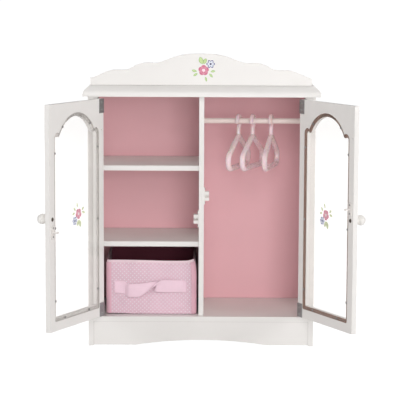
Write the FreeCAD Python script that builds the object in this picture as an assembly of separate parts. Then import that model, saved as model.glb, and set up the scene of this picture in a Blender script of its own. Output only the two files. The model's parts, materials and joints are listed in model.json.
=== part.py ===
import FreeCAD, Part

# Doll's wardrobe with two glazed doors, a hanging rail, shelves and a pull-out fabric basket.
# Millimetres. X runs to the right, Y runs from front to back and Z is up.
# The origin is the middle of the rear base rail's underside.
# The doors are built shut and then swung to the rest pose, in which both stand open.

import math
import os

from FreeCAD import Vector

# ---- driving dimensions ----
PANEL = 9.0
WIDTH = 408.0
DEPTH = 191.0
CARCASS_TOP = 453.5
BASE_HEIGHT = 45.0
BACK_THICKNESS = 3.0
BACK_MARGIN = 2.0
BACK_BOTTOM = 6.0
BACK_TOP_GAP = 0.5
POST_DEPTH = 30.0
DIVIDER_SETBACK = 10.0
SHELF_SETBACK = 18.0
UPPER_SHELF_Z = 318.5
LOWER_SHELF_Z = 180.0

CORNICE_OVERHANG = 9.0
CORNICE_THICKNESS = 20.0
CORNICE_FILLET = 7.5
CORNICE_INSET = 13.5
CORNICE_BULGE = 1.2
CREST_HALF_WIDTH = 198.0
CREST_MIDDLE_X = -1.5
CREST_SETBACK = 5.0
CREST_HEIGHT = 56.6
CREST_SCALLOPS = [
    (CREST_HALF_WIDTH, 12.6),
    (185, 17.2),
    (170.5, 23.6),
    (156, 27.2),
    (142, 27.3),
    (131, 28.4),
    (121, 33.4),
    (112, 37.4),
    (103, 39.8),
    (91, 40.3),
    (80, 39.8),
    (70.5, 42.2),
    (59, 46.7),
    (44.5, 51.8),
    (27, 55.4),
]

PLINTH_CLEARANCE = 1.5
PLINTH_ARCH_HALF = 118.0
PLINTH_ARCH_RISE = 9.2
PLINTH_SETBACK = 1.2

DOWEL_RADIUS = 2.5
DOWEL_SLACK = 0.5
DOWEL_BITE = 4.5
BOARD_DOWEL_LENGTH = 16.0
TOP_DOWEL_LENGTH = 20.0
DIVIDER_DOWEL_LENGTH = 18.0
CREST_DOWEL_LENGTH = 22.0
CREST_DOWEL_PLACES = (-150.0, -60.0, 60.0, 150.0)
POST_DOWEL_HEIGHTS = (120.0, 250.0, 380.0)
NAIL_RADIUS = 0.6
NAIL_LENGTH = 13.0
NAIL_HEAD_RADIUS = 1.6
NAIL_HEAD_THICKNESS = 0.5
NAIL_SUNK = 0.1
SIDE_NAIL_HEIGHTS = (30.0, 130.0, 235.0, 340.0, 435.0)
DIVIDER_NAIL_HEIGHTS = (150.0, 300.0)

ROD_RADIUS = 5.0
ROD_Z = 403.0
ROD_SOCKET = 3.0

DOOR_OPEN = 117.0
DOOR_GAP = 3.4
DOOR_CENTRE_GAP = 0.7
RABBET_HALF = 75.5
RABBET_LOW = 74.0
RABBET_CORNER = 3.5
SHOULDER_RADIUS = 10.5
SHOULDER_Z = 390.5
SHOULDER_NOTCH = 125.0
ARCH_TOP = 431.5
RABBET_DEPTH = 2.2
LEDGE = 6.0
PANE_THICKNESS = 2.0
PANE_CLEARANCE = 0.4
PANE_SCREW_HEAD = 2.2
PANE_SCREW_HEIGHTS = (366.0, 237.0, 110.0)
LOW_PANE_SCREW_X = 41.0
ARCH_SCREW_ANGLE = 46.0
PANE_SCREW_LENGTH = 5.0
PANE_HOLE_DEPTH = 5.5
MARK_RADIUS = 1.6
MARK_DEPTH = 2.5
MARK_Z = 395.0
MARK_EDGE = 6.5

LEAF = 0.8
LEAF_CLEARANCE = 0.3
HINGE_HEIGHT = 25.0
HINGE_WRAP = 15.0
FRAME_LEAF_DEPTH = 22.0
KNUCKLE_RADIUS = 2.2
KNUCKLE_FORWARD = 2.3
KNUCKLE_GAP = 0.15
PIN_RADIUS = 1.0
PIN_PROUD = 0.3
RUNNING_CLEARANCE = 0.05
HINGE_SCREW_HEAD = 2.2
HINGE_SCREW_OFFSETS = (6.0, 19.0)
HINGE_SCREW_LENGTH = 7.0
HINGE_HOLE_DEPTH = 7.5

KNOB_Z = 253.5
KNOB_RADIUS = 9.2
KNOB_EDGE = 9.5
KNOB_LENGTH = 20.0
KNOB_SCREW_HEAD = 3.6
KNOB_SCREW_REACH = 8.0

RIGHT_CATCH_Z = 273.0
LEFT_CATCH_Z = 231.0
TONGUE_X = 10.5
STRIKE_THICKNESS = 1.5
STRIKE_HALF_HEIGHT = 11.0
STRIKE_HALF_WIDTH = 4.5
STRIKE_SCREW_HEAD = 1.9
STRIKE_SCREW_OFFSET = 7.5
STRIKE_SCREW_LENGTH = 7.0
STRIKE_HOLE_DEPTH = 7.5
TONGUE_HALF_WIDTH = 2.3
TONGUE_STEM = 8.0
TONGUE_HEAD = 3.0
STEM_HALF_HEIGHT = 1.0
HEAD_HALF_HEIGHT = 1.7
HEAD_CHAMFER = 0.8

ROLLER_RADIUS = 2.4
ROLLER_OFFSET = 4.4
ROLLER_WIDTH = 4.5
AXLE_RADIUS = 0.7
AXLE_LENGTH = 7.0
CATCH_INSET = 2.5
CATCH_DEPTH = 13.0
CATCH_PLATE = 1.8
CATCH_HALF_HEIGHT = 15.0
JAW_HALF_HEIGHT = 8.2
MOUTH_HALF_HEIGHT = 2.4
CATCH_SCREW_HEAD = 1.9
CATCH_SCREW_OFFSET = 12.0

BASKET_LEFT = -173.5
BASKET_RIGHT = -7.5
BASKET_HEIGHT = 100.0
BASKET_SETBACK = 21.0
BASKET_DEPTH = 155.0
BASKET_WALL = 2.5
BASKET_CORNER = 8.0
BASKET_LIFT = 0.3
BASE_BOARD_THICKNESS = 2.0
STRAP_WIDTH = 26.0
STRAP_MIDDLE_X = -92.25
STRAP_HALF_LENGTH = 65.5
STRAP_STAND_OFF = 4.0
STRAP_GAP = 0.2

HOOK_BAR = 3.8
LOOP_BAR = 5.0
HANGER_HALF = 63.3
HANGER_SLOPE = 28.0
HANGER_TIP = 14.5
HANGER_TIP_DROP = 69.3
HANGER_CROWN = 8.0
HANGERS = {"left": (68.0, 18.0), "middle": (94.0, 18.5), "right": (128.0, 12.7)}

# ---- derived planes ----
REAR_Y = PANEL / 2
FRONT_Y = REAR_Y - DEPTH
SIDE_X = WIDTH / 2
INNER_X = SIDE_X - PANEL
OPENING_X = INNER_X - PANEL
DIVIDER_X = PANEL / 2
FLOOR_Z = BASE_HEIGHT + PANEL
CORNICE_TOP = CARCASS_TOP + CORNICE_THICKNESS
MIDDLE_Y = (FRONT_Y + REAR_Y) / 2
SHELF_FRONT_Y = FRONT_Y + SHELF_SETBACK
DIVIDER_FRONT_Y = FRONT_Y + DIVIDER_SETBACK
BASKET_FRONT_Y = FRONT_Y + BASKET_SETBACK
CATCH_FRONT_Y = DIVIDER_FRONT_Y + CATCH_INSET
ROLLER_Y = CATCH_FRONT_Y + 4.0
BACK_FACE_Y = REAR_Y + BACK_THICKNESS

DOOR_HINGE_X = OPENING_X - 2 * LEAF - LEAF_CLEARANCE
DOOR_MIDDLE_X = (DOOR_HINGE_X + DOOR_CENTRE_GAP) / 2
DOOR_LOW = FLOOR_Z + DOOR_GAP
DOOR_HIGH = CARCASS_TOP - DOOR_GAP
DOOR_BACK_Y = FRONT_Y + PANEL
LEDGE_Y = DOOR_BACK_Y - RABBET_DEPTH
PIN_X = OPENING_X - LEAF - LEAF_CLEARANCE / 2
PIN_Y = FRONT_Y - KNUCKLE_FORWARD
HINGE_BASES = {"lower": DOOR_LOW, "upper": DOOR_HIGH - HINGE_HEIGHT}
KNUCKLE_LENGTH = HINGE_HEIGHT / 3

SHANK_SHARE = 0.42
ORIGIN = Vector(0, 0, 0)
X_AXIS = Vector(1, 0, 0)
Y_AXIS = Vector(0, 1, 0)
Z_AXIS = Vector(0, 0, 1)
PARTS = {}


# ---- small helpers ----
def block(x0, x1, y0, y1, z0, z1):
    """A box between two corners."""
    return Part.makeBox(x1 - x0, y1 - y0, z1 - z0, Vector(x0, y0, z0))


def cylinder(radius, start, axis, length):
    """A cylinder that starts at a point and runs along an axis."""
    return Part.makeCylinder(radius, length, start, axis)


def join(shapes):
    """One solid out of overlapping shapes, with merged faces."""
    whole = shapes[0].multiFuse(shapes[1:]) if len(shapes) > 1 else shapes[0]
    return whole.removeSplitter()


def mirrored(shape):
    """The left-hand twin of a right-hand shape."""
    return shape.mirror(ORIGIN, X_AXIS)


def flat_line(start, end):
    """A straight edge between two points of a drawing plane."""
    return Part.LineSegment(Vector(*start, 0), Vector(*end, 0)).toShape()


def flat_arc(start, middle, end):
    """A circular edge through three points of a drawing plane."""
    return Part.Arc(Vector(*start, 0), Vector(*middle, 0), Vector(*end, 0)).toShape()


def on_circle(centre, radius, degrees):
    """A point of a circle in a drawing plane."""
    angle = math.radians(degrees)
    return (centre[0] + radius * math.cos(angle), centre[1] + radius * math.sin(angle))


def upright(wire, front_y, thickness):
    """A board cut to an outline drawn in width and height, standing from front_y towards the back."""
    solid = Part.Face(wire).extrude(Vector(0, 0, -thickness))
    solid.rotate(ORIGIN, X_AXIS, 90)
    solid.translate(Vector(0, front_y, 0))
    return solid


def aimed(shape, point, outward):
    """A shape made along +Z from the origin, moved to a point and turned to face outward."""
    shape.Placement = FreeCAD.Placement(point, FreeCAD.Rotation(Z_AXIS, outward))
    return shape


def screw(point, outward, head_radius, shank_length):
    """A cross-headed screw whose domed head sits on a surface at a point."""
    head_height = 0.5 * head_radius
    shank_radius = SHANK_SHARE * head_radius
    dome_radius = (head_radius**2 + head_height**2) / (2 * head_height)
    ball = Part.makeSphere(dome_radius, Vector(0, 0, head_height - dome_radius))
    head = cylinder(head_radius, ORIGIN, Z_AXIS, head_height).common(ball)
    shank = cylinder(shank_radius, Vector(0, 0, -shank_length), Z_AXIS, shank_length)
    reach = 0.55 * head_radius
    slot = 0.13 * head_radius
    floor = 0.45 * head_height
    across = block(-reach, reach, -slot, slot, floor, head_height)
    along = block(-slot, slot, -reach, reach, floor, head_height)
    return aimed(join([head, shank]).cut(across).cut(along), point, outward)


def screw_hole(point, outward, head_radius, depth):
    """The drilled hole that a screw's shank goes into."""
    radius = SHANK_SHARE * head_radius + RUNNING_CLEARANCE
    hole = cylinder(radius, Vector(0, 0, -depth), Z_AXIS, depth + PANEL)
    return aimed(hole, point, outward)


# ---- hidden joinery of the carcass ----
def dowel(start, axis, length):
    """A wooden dowel and the hole drilled for it."""
    peg = cylinder(DOWEL_RADIUS, start, axis, length)
    hole_start = start - axis * DOWEL_SLACK
    hole = cylinder(DOWEL_RADIUS + RUNNING_CLEARANCE, hole_start, axis, length + 2 * DOWEL_SLACK)
    return peg, hole


def side_dowels(side):
    """Dowels from one side panel into the bottom board, the rails and the hinge post."""
    outward = X_AXIS * side
    board_x = side * (INNER_X + DOWEL_BITE - BOARD_DOWEL_LENGTH)
    post_x = side * (INNER_X - DOWEL_BITE)
    found = []
    for y in (FRONT_Y + 45, MIDDLE_Y, REAR_Y - 45):
        start = Vector(board_x, y, BASE_HEIGHT + PANEL / 2)
        found.append(dowel(start, outward, BOARD_DOWEL_LENGTH))
    for y in (FRONT_Y + PANEL / 2, 0):
        start = Vector(board_x, y, BASE_HEIGHT / 2)
        found.append(dowel(start, outward, BOARD_DOWEL_LENGTH))
    for z in POST_DOWEL_HEIGHTS:
        start = Vector(post_x, FRONT_Y + POST_DEPTH / 2, z)
        found.append(dowel(start, outward, 2 * DOWEL_BITE))
    return found


def board_dowels():
    """Dowels that tie the side panels, base boards, divider, posts and cornice together."""
    found = side_dowels(-1) + side_dowels(1)
    top_z = CARCASS_TOP - TOP_DOWEL_LENGTH / 2
    foot_z = FLOOR_Z - DIVIDER_DOWEL_LENGTH / 2 + 2
    for y in (FRONT_Y + 60, REAR_Y - 50):
        for x in (-INNER_X - PANEL / 2, 0, INNER_X + PANEL / 2):
            found.append(dowel(Vector(x, y, top_z), Z_AXIS, TOP_DOWEL_LENGTH))
        found.append(dowel(Vector(0, y, foot_z), Z_AXIS, DIVIDER_DOWEL_LENGTH))
    return found


def shelf_dowels():
    """Two dowels in each end of each shelf."""
    left_x = -INNER_X - DOWEL_BITE + BOARD_DOWEL_LENGTH
    right_x = -DIVIDER_X + DOWEL_BITE - BOARD_DOWEL_LENGTH
    found = []
    for z in (UPPER_SHELF_Z + PANEL / 2, LOWER_SHELF_Z + PANEL / 2):
        for y in (FRONT_Y + 70, REAR_Y - 40):
            found.append(dowel(Vector(left_x, y, z), -X_AXIS, BOARD_DOWEL_LENGTH))
            found.append(dowel(Vector(right_x, y, z), X_AXIS, BOARD_DOWEL_LENGTH))
    return found


def crest_dowels():
    """Upright dowels between the crest and the cornice."""
    crest_y = FRONT_Y + CREST_SETBACK + PANEL / 2
    low = CORNICE_TOP - CREST_DOWEL_LENGTH / 2
    return [dowel(Vector(x, crest_y, low), Z_AXIS, CREST_DOWEL_LENGTH) for x in CREST_DOWEL_PLACES]


def nail_places():
    """Where the back panel is nailed to the side panels, bottom board and divider."""
    places = [(0, z) for z in DIVIDER_NAIL_HEIGHTS]
    for side in (-1, 1):
        places += [(side * (INNER_X + PANEL / 2), z) for z in SIDE_NAIL_HEIGHTS]
        places.append((side * INNER_X / 2, BASE_HEIGHT + PANEL / 2))
    return places


def back_nails():
    """Nails driven just below the back panel's surface, and their holes."""
    nails = []
    holes = []
    for x, z in nail_places():
        top = Vector(x, BACK_FACE_Y - NAIL_SUNK, z)
        shank = cylinder(NAIL_RADIUS, top, -Y_AXIS, NAIL_LENGTH)
        head = cylinder(NAIL_HEAD_RADIUS, top, -Y_AXIS, NAIL_HEAD_THICKNESS)
        nails.append(join([shank, head]))
        sink_depth = NAIL_SUNK + NAIL_HEAD_THICKNESS
        surface = Vector(x, BACK_FACE_Y, z)
        sink = cylinder(NAIL_HEAD_RADIUS + RUNNING_CLEARANCE, surface, -Y_AXIS, sink_depth)
        bore = cylinder(NAIL_RADIUS + RUNNING_CLEARANCE, surface, -Y_AXIS, NAIL_LENGTH + DOWEL_SLACK)
        holes.append(join([bore, sink]))
    return nails, holes


BOARD_DOWELS = board_dowels()
SHELF_DOWELS = shelf_dowels()
CREST_DOWELS = crest_dowels()
NAILS, NAIL_HOLES = back_nails()
DRILLING = [hole for _, hole in BOARD_DOWELS + SHELF_DOWELS + CREST_DOWELS] + NAIL_HOLES


def drilled(shape):
    """A board with every hole that reaches it."""
    reached = [hole for hole in DRILLING if hole.BoundBox.intersect(shape.BoundBox)]
    return shape.cut(reached) if reached else shape


# ---- carcass ----
def side_panel():
    """Right side panel, before drilling."""
    return block(INNER_X, SIDE_X, FRONT_Y, REAR_Y, 0, CARCASS_TOP)


def rod_socket(start_x):
    """The blind hole that takes one end of the hanging rod."""
    return cylinder(ROD_RADIUS + RUNNING_CLEARANCE, Vector(start_x, MIDDLE_Y, ROD_Z), X_AXIS, ROD_SOCKET)


def divider():
    """Upright board between the shelves and the hanging space."""
    board = block(-DIVIDER_X, DIVIDER_X, DIVIDER_FRONT_Y, REAR_Y, FLOOR_Z, CARCASS_TOP)
    return board.cut(rod_socket(DIVIDER_X - ROD_SOCKET))


def shelf(z):
    """A shelf between the left side panel and the divider, notched round the hinge post."""
    board = block(-INNER_X, -DIVIDER_X, SHELF_FRONT_Y, REAR_Y, z, z + PANEL)
    return board.cut(block(-INNER_X, -OPENING_X, SHELF_FRONT_Y, FRONT_Y + POST_DEPTH, z, z + PANEL))


def plinth_rail():
    """Front rail under the bottom board, a little set back, with its shallow arch."""
    low = PLINTH_CLEARANCE
    edges = [
        flat_line((-INNER_X, BASE_HEIGHT), (-INNER_X, low)),
        flat_line((-INNER_X, low), (-PLINTH_ARCH_HALF, low)),
        flat_arc((-PLINTH_ARCH_HALF, low), (0, low + PLINTH_ARCH_RISE), (PLINTH_ARCH_HALF, low)),
        flat_line((PLINTH_ARCH_HALF, low), (INNER_X, low)),
        flat_line((INNER_X, low), (INNER_X, BASE_HEIGHT)),
        flat_line((INNER_X, BASE_HEIGHT), (-INNER_X, BASE_HEIGHT)),
    ]
    return upright(Part.Wire(edges), FRONT_Y + PLINTH_SETBACK, PANEL - PLINTH_SETBACK)


def moulding(edge, shoulder, top, rear):
    """Cross-section of the cornice, from its overhanging edge to a rear line."""
    chord_middle = ((shoulder[0] + top[0]) / 2, (shoulder[1] + top[1]) / 2)
    outward = -1 if edge[0] < 0 else 1
    lift = CORNICE_BULGE / math.sqrt(2)
    bulged = (chord_middle[0] + outward * lift, chord_middle[1] + lift)
    return [
        flat_line(edge, shoulder),
        flat_arc(shoulder, bulged, top),
        flat_line(top, (rear, top[1])),
    ]


def cornice():
    """Top board with a moulded edge on the front and both ends."""
    low = CARCASS_TOP
    step = low + CORNICE_FILLET
    half = SIDE_X + CORNICE_OVERHANG
    front = FRONT_Y - CORNICE_OVERHANG
    rear = BACK_FACE_Y
    ends = []
    for side in (-1, 1):
        start = (side * half, low)
        top = (side * (half - CORNICE_INSET), CORNICE_TOP)
        ends += moulding(start, (side * half, step), top, 0)
    ends.append(flat_line((-half, low), (half, low)))
    along_depth = upright(Part.Wire(Part.sortEdges(ends)[0]), front, rear - front)
    profile = moulding((front, low), (front, step), (front + CORNICE_INSET, CORNICE_TOP), rear)
    profile.append(flat_line((rear, CORNICE_TOP), (rear, low)))
    profile.append(flat_line((rear, low), (front, low)))
    across = Part.Face(Part.Wire(profile)).extrude(Vector(0, 0, 2 * half))
    across.Placement = FreeCAD.Placement(
        Vector(-half, 0, 0), FreeCAD.Rotation(Y_AXIS, Z_AXIS, X_AXIS, "ZXY")
    )
    return along_depth.common(across)


def crest():
    """Scalloped board that stands on the cornice, a little left of its middle."""
    middle = CREST_MIDDLE_X
    points = [Vector(middle - x, CORNICE_TOP + rise, 0) for x, rise in CREST_SCALLOPS]
    points.append(Vector(middle, CORNICE_TOP + CREST_HEIGHT, 0))
    points += [Vector(middle + x, CORNICE_TOP + rise, 0) for x, rise in reversed(CREST_SCALLOPS)]
    scallops = Part.BSplineCurve()
    scallops.interpolate(points)
    left = (points[0].x, points[0].y)
    right = (points[-1].x, points[-1].y)
    edges = [
        scallops.toShape(),
        flat_line(right, (right[0], CORNICE_TOP)),
        flat_line((right[0], CORNICE_TOP), (left[0], CORNICE_TOP)),
        flat_line((left[0], CORNICE_TOP), left),
    ]
    return upright(Part.Wire(edges), FRONT_Y + CREST_SETBACK, PANEL)


def back_panel():
    """Thin rear panel nailed over the side panels and base rail."""
    half = SIDE_X - BACK_MARGIN
    return block(-half, half, REAR_Y, BACK_FACE_Y, BACK_BOTTOM, CARCASS_TOP - BACK_TOP_GAP)


def build_carcass():
    """Every fixed board, drilled for its dowels and nails."""
    right_panel = side_panel()
    PARTS["left_side_panel"] = drilled(mirrored(right_panel))
    PARTS["right_side_panel"] = drilled(right_panel.cut(rod_socket(INNER_X)))
    bottom = block(-INNER_X, INNER_X, FRONT_Y, REAR_Y, BASE_HEIGHT, FLOOR_Z)
    PARTS["bottom_board"] = drilled(bottom)
    PARTS["plinth_front_rail"] = drilled(plinth_rail())
    PARTS["rear_base_rail"] = drilled(block(-INNER_X, INNER_X, -REAR_Y, REAR_Y, 0, BASE_HEIGHT))
    PARTS["cornice_board"] = drilled(cornice())
    PARTS["crest_board"] = drilled(crest())
    PARTS["back_panel"] = drilled(back_panel())
    PARTS["divider"] = drilled(divider())
    PARTS["upper_shelf"] = drilled(shelf(UPPER_SHELF_Z))
    PARTS["lower_shelf"] = drilled(shelf(LOWER_SHELF_Z))
    rod_length = INNER_X - DIVIDER_X + 2 * ROD_SOCKET
    rod_start = Vector(DIVIDER_X - ROD_SOCKET, MIDDLE_Y, ROD_Z)
    PARTS["hanging_rod"] = cylinder(ROD_RADIUS, rod_start, X_AXIS, rod_length)
    PARTS["board_dowels"] = [peg for peg, _ in BOARD_DOWELS]
    PARTS["shelf_dowels"] = [peg for peg, _ in SHELF_DOWELS]
    PARTS["crest_dowels"] = [peg for peg, _ in CREST_DOWELS]
    PARTS["back_panel_nails"] = NAILS


# ---- hinges ----
def knuckle(base, index):
    """One of the three hinge knuckles above a hinge's base height."""
    low = base + index * KNUCKLE_LENGTH + KNUCKLE_GAP / 2
    return cylinder(KNUCKLE_RADIUS, Vector(PIN_X, PIN_Y, low), Z_AXIS, KNUCKLE_LENGTH - KNUCKLE_GAP)


def pin_bore(base):
    """The bore through all three knuckles."""
    start = Vector(PIN_X, PIN_Y, base - 1)
    return cylinder(PIN_RADIUS + RUNNING_CLEARANCE, start, Z_AXIS, HINGE_HEIGHT + 2)


def tongue_to_knuckle(x0, x1, base, index):
    """The strip of leaf that curls into one knuckle."""
    low = base + index * KNUCKLE_LENGTH + KNUCKLE_GAP / 2
    return block(x0, x1, PIN_Y, FRONT_Y + 1, low, low + KNUCKLE_LENGTH - KNUCKLE_GAP)


def frame_screw_points(base):
    """Screw places on the hinge post's inner face."""
    y = FRONT_Y + FRAME_LEAF_DEPTH - 5
    return [Vector(OPENING_X - LEAF, y, base + offset) for offset in HINGE_SCREW_OFFSETS]


def door_screw_points(base):
    """Screw places on the back of the shut door."""
    x = DOOR_HINGE_X - HINGE_WRAP / 2
    return [Vector(x, DOOR_BACK_Y + LEAF, base + offset) for offset in HINGE_SCREW_OFFSETS]


def frame_leaf(base):
    """Hinge leaf screwed to the post, with the two outer knuckles."""
    x0 = OPENING_X - LEAF
    plate_front = FRONT_Y + 0.1
    plate = block(x0, OPENING_X, plate_front, FRONT_Y + FRAME_LEAF_DEPTH, base, base + HINGE_HEIGHT)
    shapes = [plate]
    for index in (0, 2):
        shapes += [knuckle(base, index), tongue_to_knuckle(x0, OPENING_X, base, index)]
    leaf = join(shapes).cut(pin_bore(base))
    for point in frame_screw_points(base):
        leaf = leaf.cut(screw_hole(point, -X_AXIS, HINGE_SCREW_HEAD, HINGE_HOLE_DEPTH))
    return leaf


def door_leaf(base):
    """Hinge leaf that wraps the door's edge on to its back, with the middle knuckle."""
    edge_x = DOOR_HINGE_X + LEAF
    top = base + HINGE_HEIGHT
    edge = block(DOOR_HINGE_X, edge_x, FRONT_Y + 0.1, DOOR_BACK_Y + LEAF, base, top)
    wrap = block(DOOR_HINGE_X - HINGE_WRAP, edge_x, DOOR_BACK_Y, DOOR_BACK_Y + LEAF, base, top)
    strip = tongue_to_knuckle(DOOR_HINGE_X, edge_x, base, 1)
    leaf = join([edge, wrap, knuckle(base, 1), strip]).cut(pin_bore(base))
    for point in door_screw_points(base):
        leaf = leaf.cut(screw_hole(point, Y_AXIS, HINGE_SCREW_HEAD, HINGE_HOLE_DEPTH))
    return leaf


def hinge_pin(base):
    """Hinge pin that stands a little out of both ends of the knuckles."""
    start = Vector(PIN_X, PIN_Y, base - PIN_PROUD)
    return cylinder(PIN_RADIUS, start, Z_AXIS, HINGE_HEIGHT + 2 * PIN_PROUD)


# ---- doors, built shut on the right-hand side ----
def window_wire():
    """Outline of the rabbet that holds the pane, centred on the door."""
    half = RABBET_HALF
    low = RABBET_LOW
    round_r = RABBET_CORNER
    corner = (half - round_r, low + round_r)
    shoulder = (half - SHOULDER_RADIUS, SHOULDER_Z)
    notch = on_circle(shoulder, SHOULDER_RADIUS, SHOULDER_NOTCH)
    side = [
        flat_line((0, low), (corner[0], low)),
        flat_arc((corner[0], low), on_circle(corner, round_r, -45), (half, corner[1])),
        flat_line((half, corner[1]), (half, SHOULDER_Z)),
        flat_arc((half, SHOULDER_Z), on_circle(shoulder, SHOULDER_RADIUS, SHOULDER_NOTCH / 2), notch),
    ]
    other = [edge.mirror(ORIGIN, X_AXIS) for edge in side]
    arch = flat_arc(notch, (0, ARCH_TOP), (-notch[0], notch[1]))
    return Part.Wire(Part.sortEdges(side + other + [arch])[0])


def at_door(wire, front_y, thickness):
    """An outline centred on the door, as a board at the shut door's place."""
    board = upright(wire, front_y, thickness)
    board.translate(Vector(DOOR_MIDDLE_X, 0, 0))
    return board


def pane_screw_points():
    """Places of the small screws through the pane into the ledge."""
    inset = LEDGE / 2
    spots = [(RABBET_HALF - inset, z) for z in PANE_SCREW_HEIGHTS]
    spots.append((LOW_PANE_SCREW_X, RABBET_LOW + inset))
    notch_drop = ARCH_TOP - SHOULDER_Z - SHOULDER_RADIUS * math.sin(math.radians(SHOULDER_NOTCH))
    notch_x = RABBET_HALF - SHOULDER_RADIUS * (1 - math.cos(math.radians(SHOULDER_NOTCH)))
    arch_radius = (notch_x**2 + notch_drop**2) / (2 * notch_drop)
    spots.append(on_circle((0, ARCH_TOP - arch_radius), arch_radius - inset, ARCH_SCREW_ANGLE))
    surface = LEDGE_Y + PANE_THICKNESS
    return [Vector(DOOR_MIDDLE_X + side * x, surface, z) for x, z in spots for side in (-1, 1)]


def knob_point():
    """Middle of the knob's foot on the door's front face."""
    return Vector(DOOR_CENTRE_GAP + KNOB_EDGE, FRONT_Y, KNOB_Z)


def strike_screw_points(z):
    """Two screw places on the strike plate."""
    y = DOOR_BACK_Y + STRIKE_THICKNESS
    return [Vector(TONGUE_X, y, z + sign * STRIKE_SCREW_OFFSET) for sign in (-1, 1)]


def door_frame(strike_z, mark_x):
    """Door board with its window, rabbet and drilled holes."""
    board = block(DOOR_CENTRE_GAP, DOOR_HINGE_X, FRONT_Y, DOOR_BACK_Y, DOOR_LOW, DOOR_HIGH)
    rabbet = window_wire()
    sight = rabbet.makeOffset2D(-LEDGE)
    board = board.cut(at_door(rabbet, LEDGE_Y, RABBET_DEPTH + 1))
    board = board.cut(at_door(sight, FRONT_Y - 1, PANEL + 2))
    for point in pane_screw_points():
        board = board.cut(screw_hole(point, Y_AXIS, PANE_SCREW_HEAD, PANE_HOLE_DEPTH))
    for point in strike_screw_points(strike_z):
        board = board.cut(screw_hole(point, Y_AXIS, STRIKE_SCREW_HEAD, STRIKE_HOLE_DEPTH))
    for base in HINGE_BASES.values():
        for point in door_screw_points(base):
            board = board.cut(screw_hole(point, Y_AXIS, HINGE_SCREW_HEAD, HINGE_HOLE_DEPTH))
    through = knob_point() + Y_AXIS * PANEL
    board = board.cut(screw_hole(through, Y_AXIS, KNOB_SCREW_HEAD, PANEL + 1))
    mark = cylinder(MARK_RADIUS, Vector(mark_x, DOOR_BACK_Y, MARK_Z), -Y_AXIS, MARK_DEPTH)
    return board.cut(mark)


def pane():
    """Clear pane that lies on the ledge."""
    sheet = at_door(window_wire().makeOffset2D(-PANE_CLEARANCE), LEDGE_Y, PANE_THICKNESS)
    for point in pane_screw_points():
        sheet = sheet.cut(screw_hole(point, Y_AXIS, PANE_SCREW_HEAD, PANE_THICKNESS + 1))
    return sheet


def knob():
    """Turned knob with a short neck, bored for its screw."""
    profile = [
        (5.4, 0),
        (4.2, 2.6),
        (4.9, 5.4),
        (8.3, 8.2),
        (KNOB_RADIUS, 12.2),
        (7.8, 16.4),
        (4.3, 19.2),
        (0, KNOB_LENGTH),
    ]
    turning = Part.BSplineCurve()
    turning.interpolate([Vector(radius, along, 0) for radius, along in profile])
    edges = [
        turning.toShape(),
        flat_line((0, KNOB_LENGTH), (0, 0)),
        flat_line((0, 0), profile[0]),
    ]
    turned = Part.Face(Part.Wire(edges)).revolve(ORIGIN, Y_AXIS, 360)
    turned.rotate(ORIGIN, Z_AXIS, 180)
    turned.translate(knob_point())
    through = knob_point() + Y_AXIS * PANEL
    return turned.cut(screw_hole(through, Y_AXIS, KNOB_SCREW_HEAD, PANEL + KNOB_SCREW_REACH + 1))


def tongue(z):
    """The strike's tongue with its spear head, standing off the back of the shut door."""
    left = TONGUE_X - TONGUE_HALF_WIDTH
    right = TONGUE_X + TONGUE_HALF_WIDTH
    neck_y = DOOR_BACK_Y + TONGUE_STEM
    tip_y = neck_y + TONGUE_HEAD
    stem = block(left, right, DOOR_BACK_Y, neck_y, z - STEM_HALF_HEIGHT, z + STEM_HALF_HEIGHT)
    head = block(left, right, neck_y, tip_y, z - HEAD_HALF_HEIGHT, z + HEAD_HALF_HEIGHT)
    long_edges = [edge for edge in head.Edges if abs(edge.Length - 2 * TONGUE_HALF_WIDTH) < 0.01]
    return [stem, head.makeChamfer(HEAD_CHAMFER, long_edges)]


def strike(z):
    """Catch strike: a plate with a spear-headed tongue."""
    plate = block(
        TONGUE_X - STRIKE_HALF_WIDTH,
        TONGUE_X + STRIKE_HALF_WIDTH,
        DOOR_BACK_Y,
        DOOR_BACK_Y + STRIKE_THICKNESS,
        z - STRIKE_HALF_HEIGHT,
        z + STRIKE_HALF_HEIGHT,
    )
    whole = join([plate] + tongue(z))
    for point in strike_screw_points(z):
        whole = whole.cut(screw_hole(point, Y_AXIS, STRIKE_SCREW_HEAD, STRIKE_THICKNESS + 1))
    return whole


def screws_at(points, head_radius, length):
    """One screw at each point of the door's back."""
    return [screw(point, Y_AXIS, head_radius, length) for point in points]


def build_door(side, strike_z, mark_x):
    """All the pieces of one door, swung open to the rest pose."""
    sign = 1 if side == "right" else -1
    knob_back = [knob_point() + Y_AXIS * PANEL]
    strike_points = strike_screw_points(strike_z)
    hinge_points = door_screw_points(HINGE_BASES["upper"]) + door_screw_points(HINGE_BASES["lower"])
    pieces = {
        "frame": [door_frame(strike_z, mark_x)],
        "pane": [pane()],
        "pane_screws": screws_at(pane_screw_points(), PANE_SCREW_HEAD, PANE_SCREW_LENGTH),
        "knob": [knob()],
        "knob_screw": screws_at(knob_back, KNOB_SCREW_HEAD, PANEL + KNOB_SCREW_REACH),
        "strike": [strike(strike_z)],
        "strike_screws": screws_at(strike_points, STRIKE_SCREW_HEAD, STRIKE_SCREW_LENGTH),
        "upper_hinge_leaf": [door_leaf(HINGE_BASES["upper"])],
        "lower_hinge_leaf": [door_leaf(HINGE_BASES["lower"])],
        "hinge_screws": screws_at(hinge_points, HINGE_SCREW_HEAD, HINGE_SCREW_LENGTH),
    }
    pin = Vector(sign * PIN_X, PIN_Y, 0)
    for name, solids in pieces.items():
        placed = []
        for solid in solids:
            shape = solid if sign > 0 else mirrored(solid)
            shape.rotate(pin, Z_AXIS, sign * DOOR_OPEN)
            placed.append(shape)
        PARTS[f"{side}_door_{name}"] = placed


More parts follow.
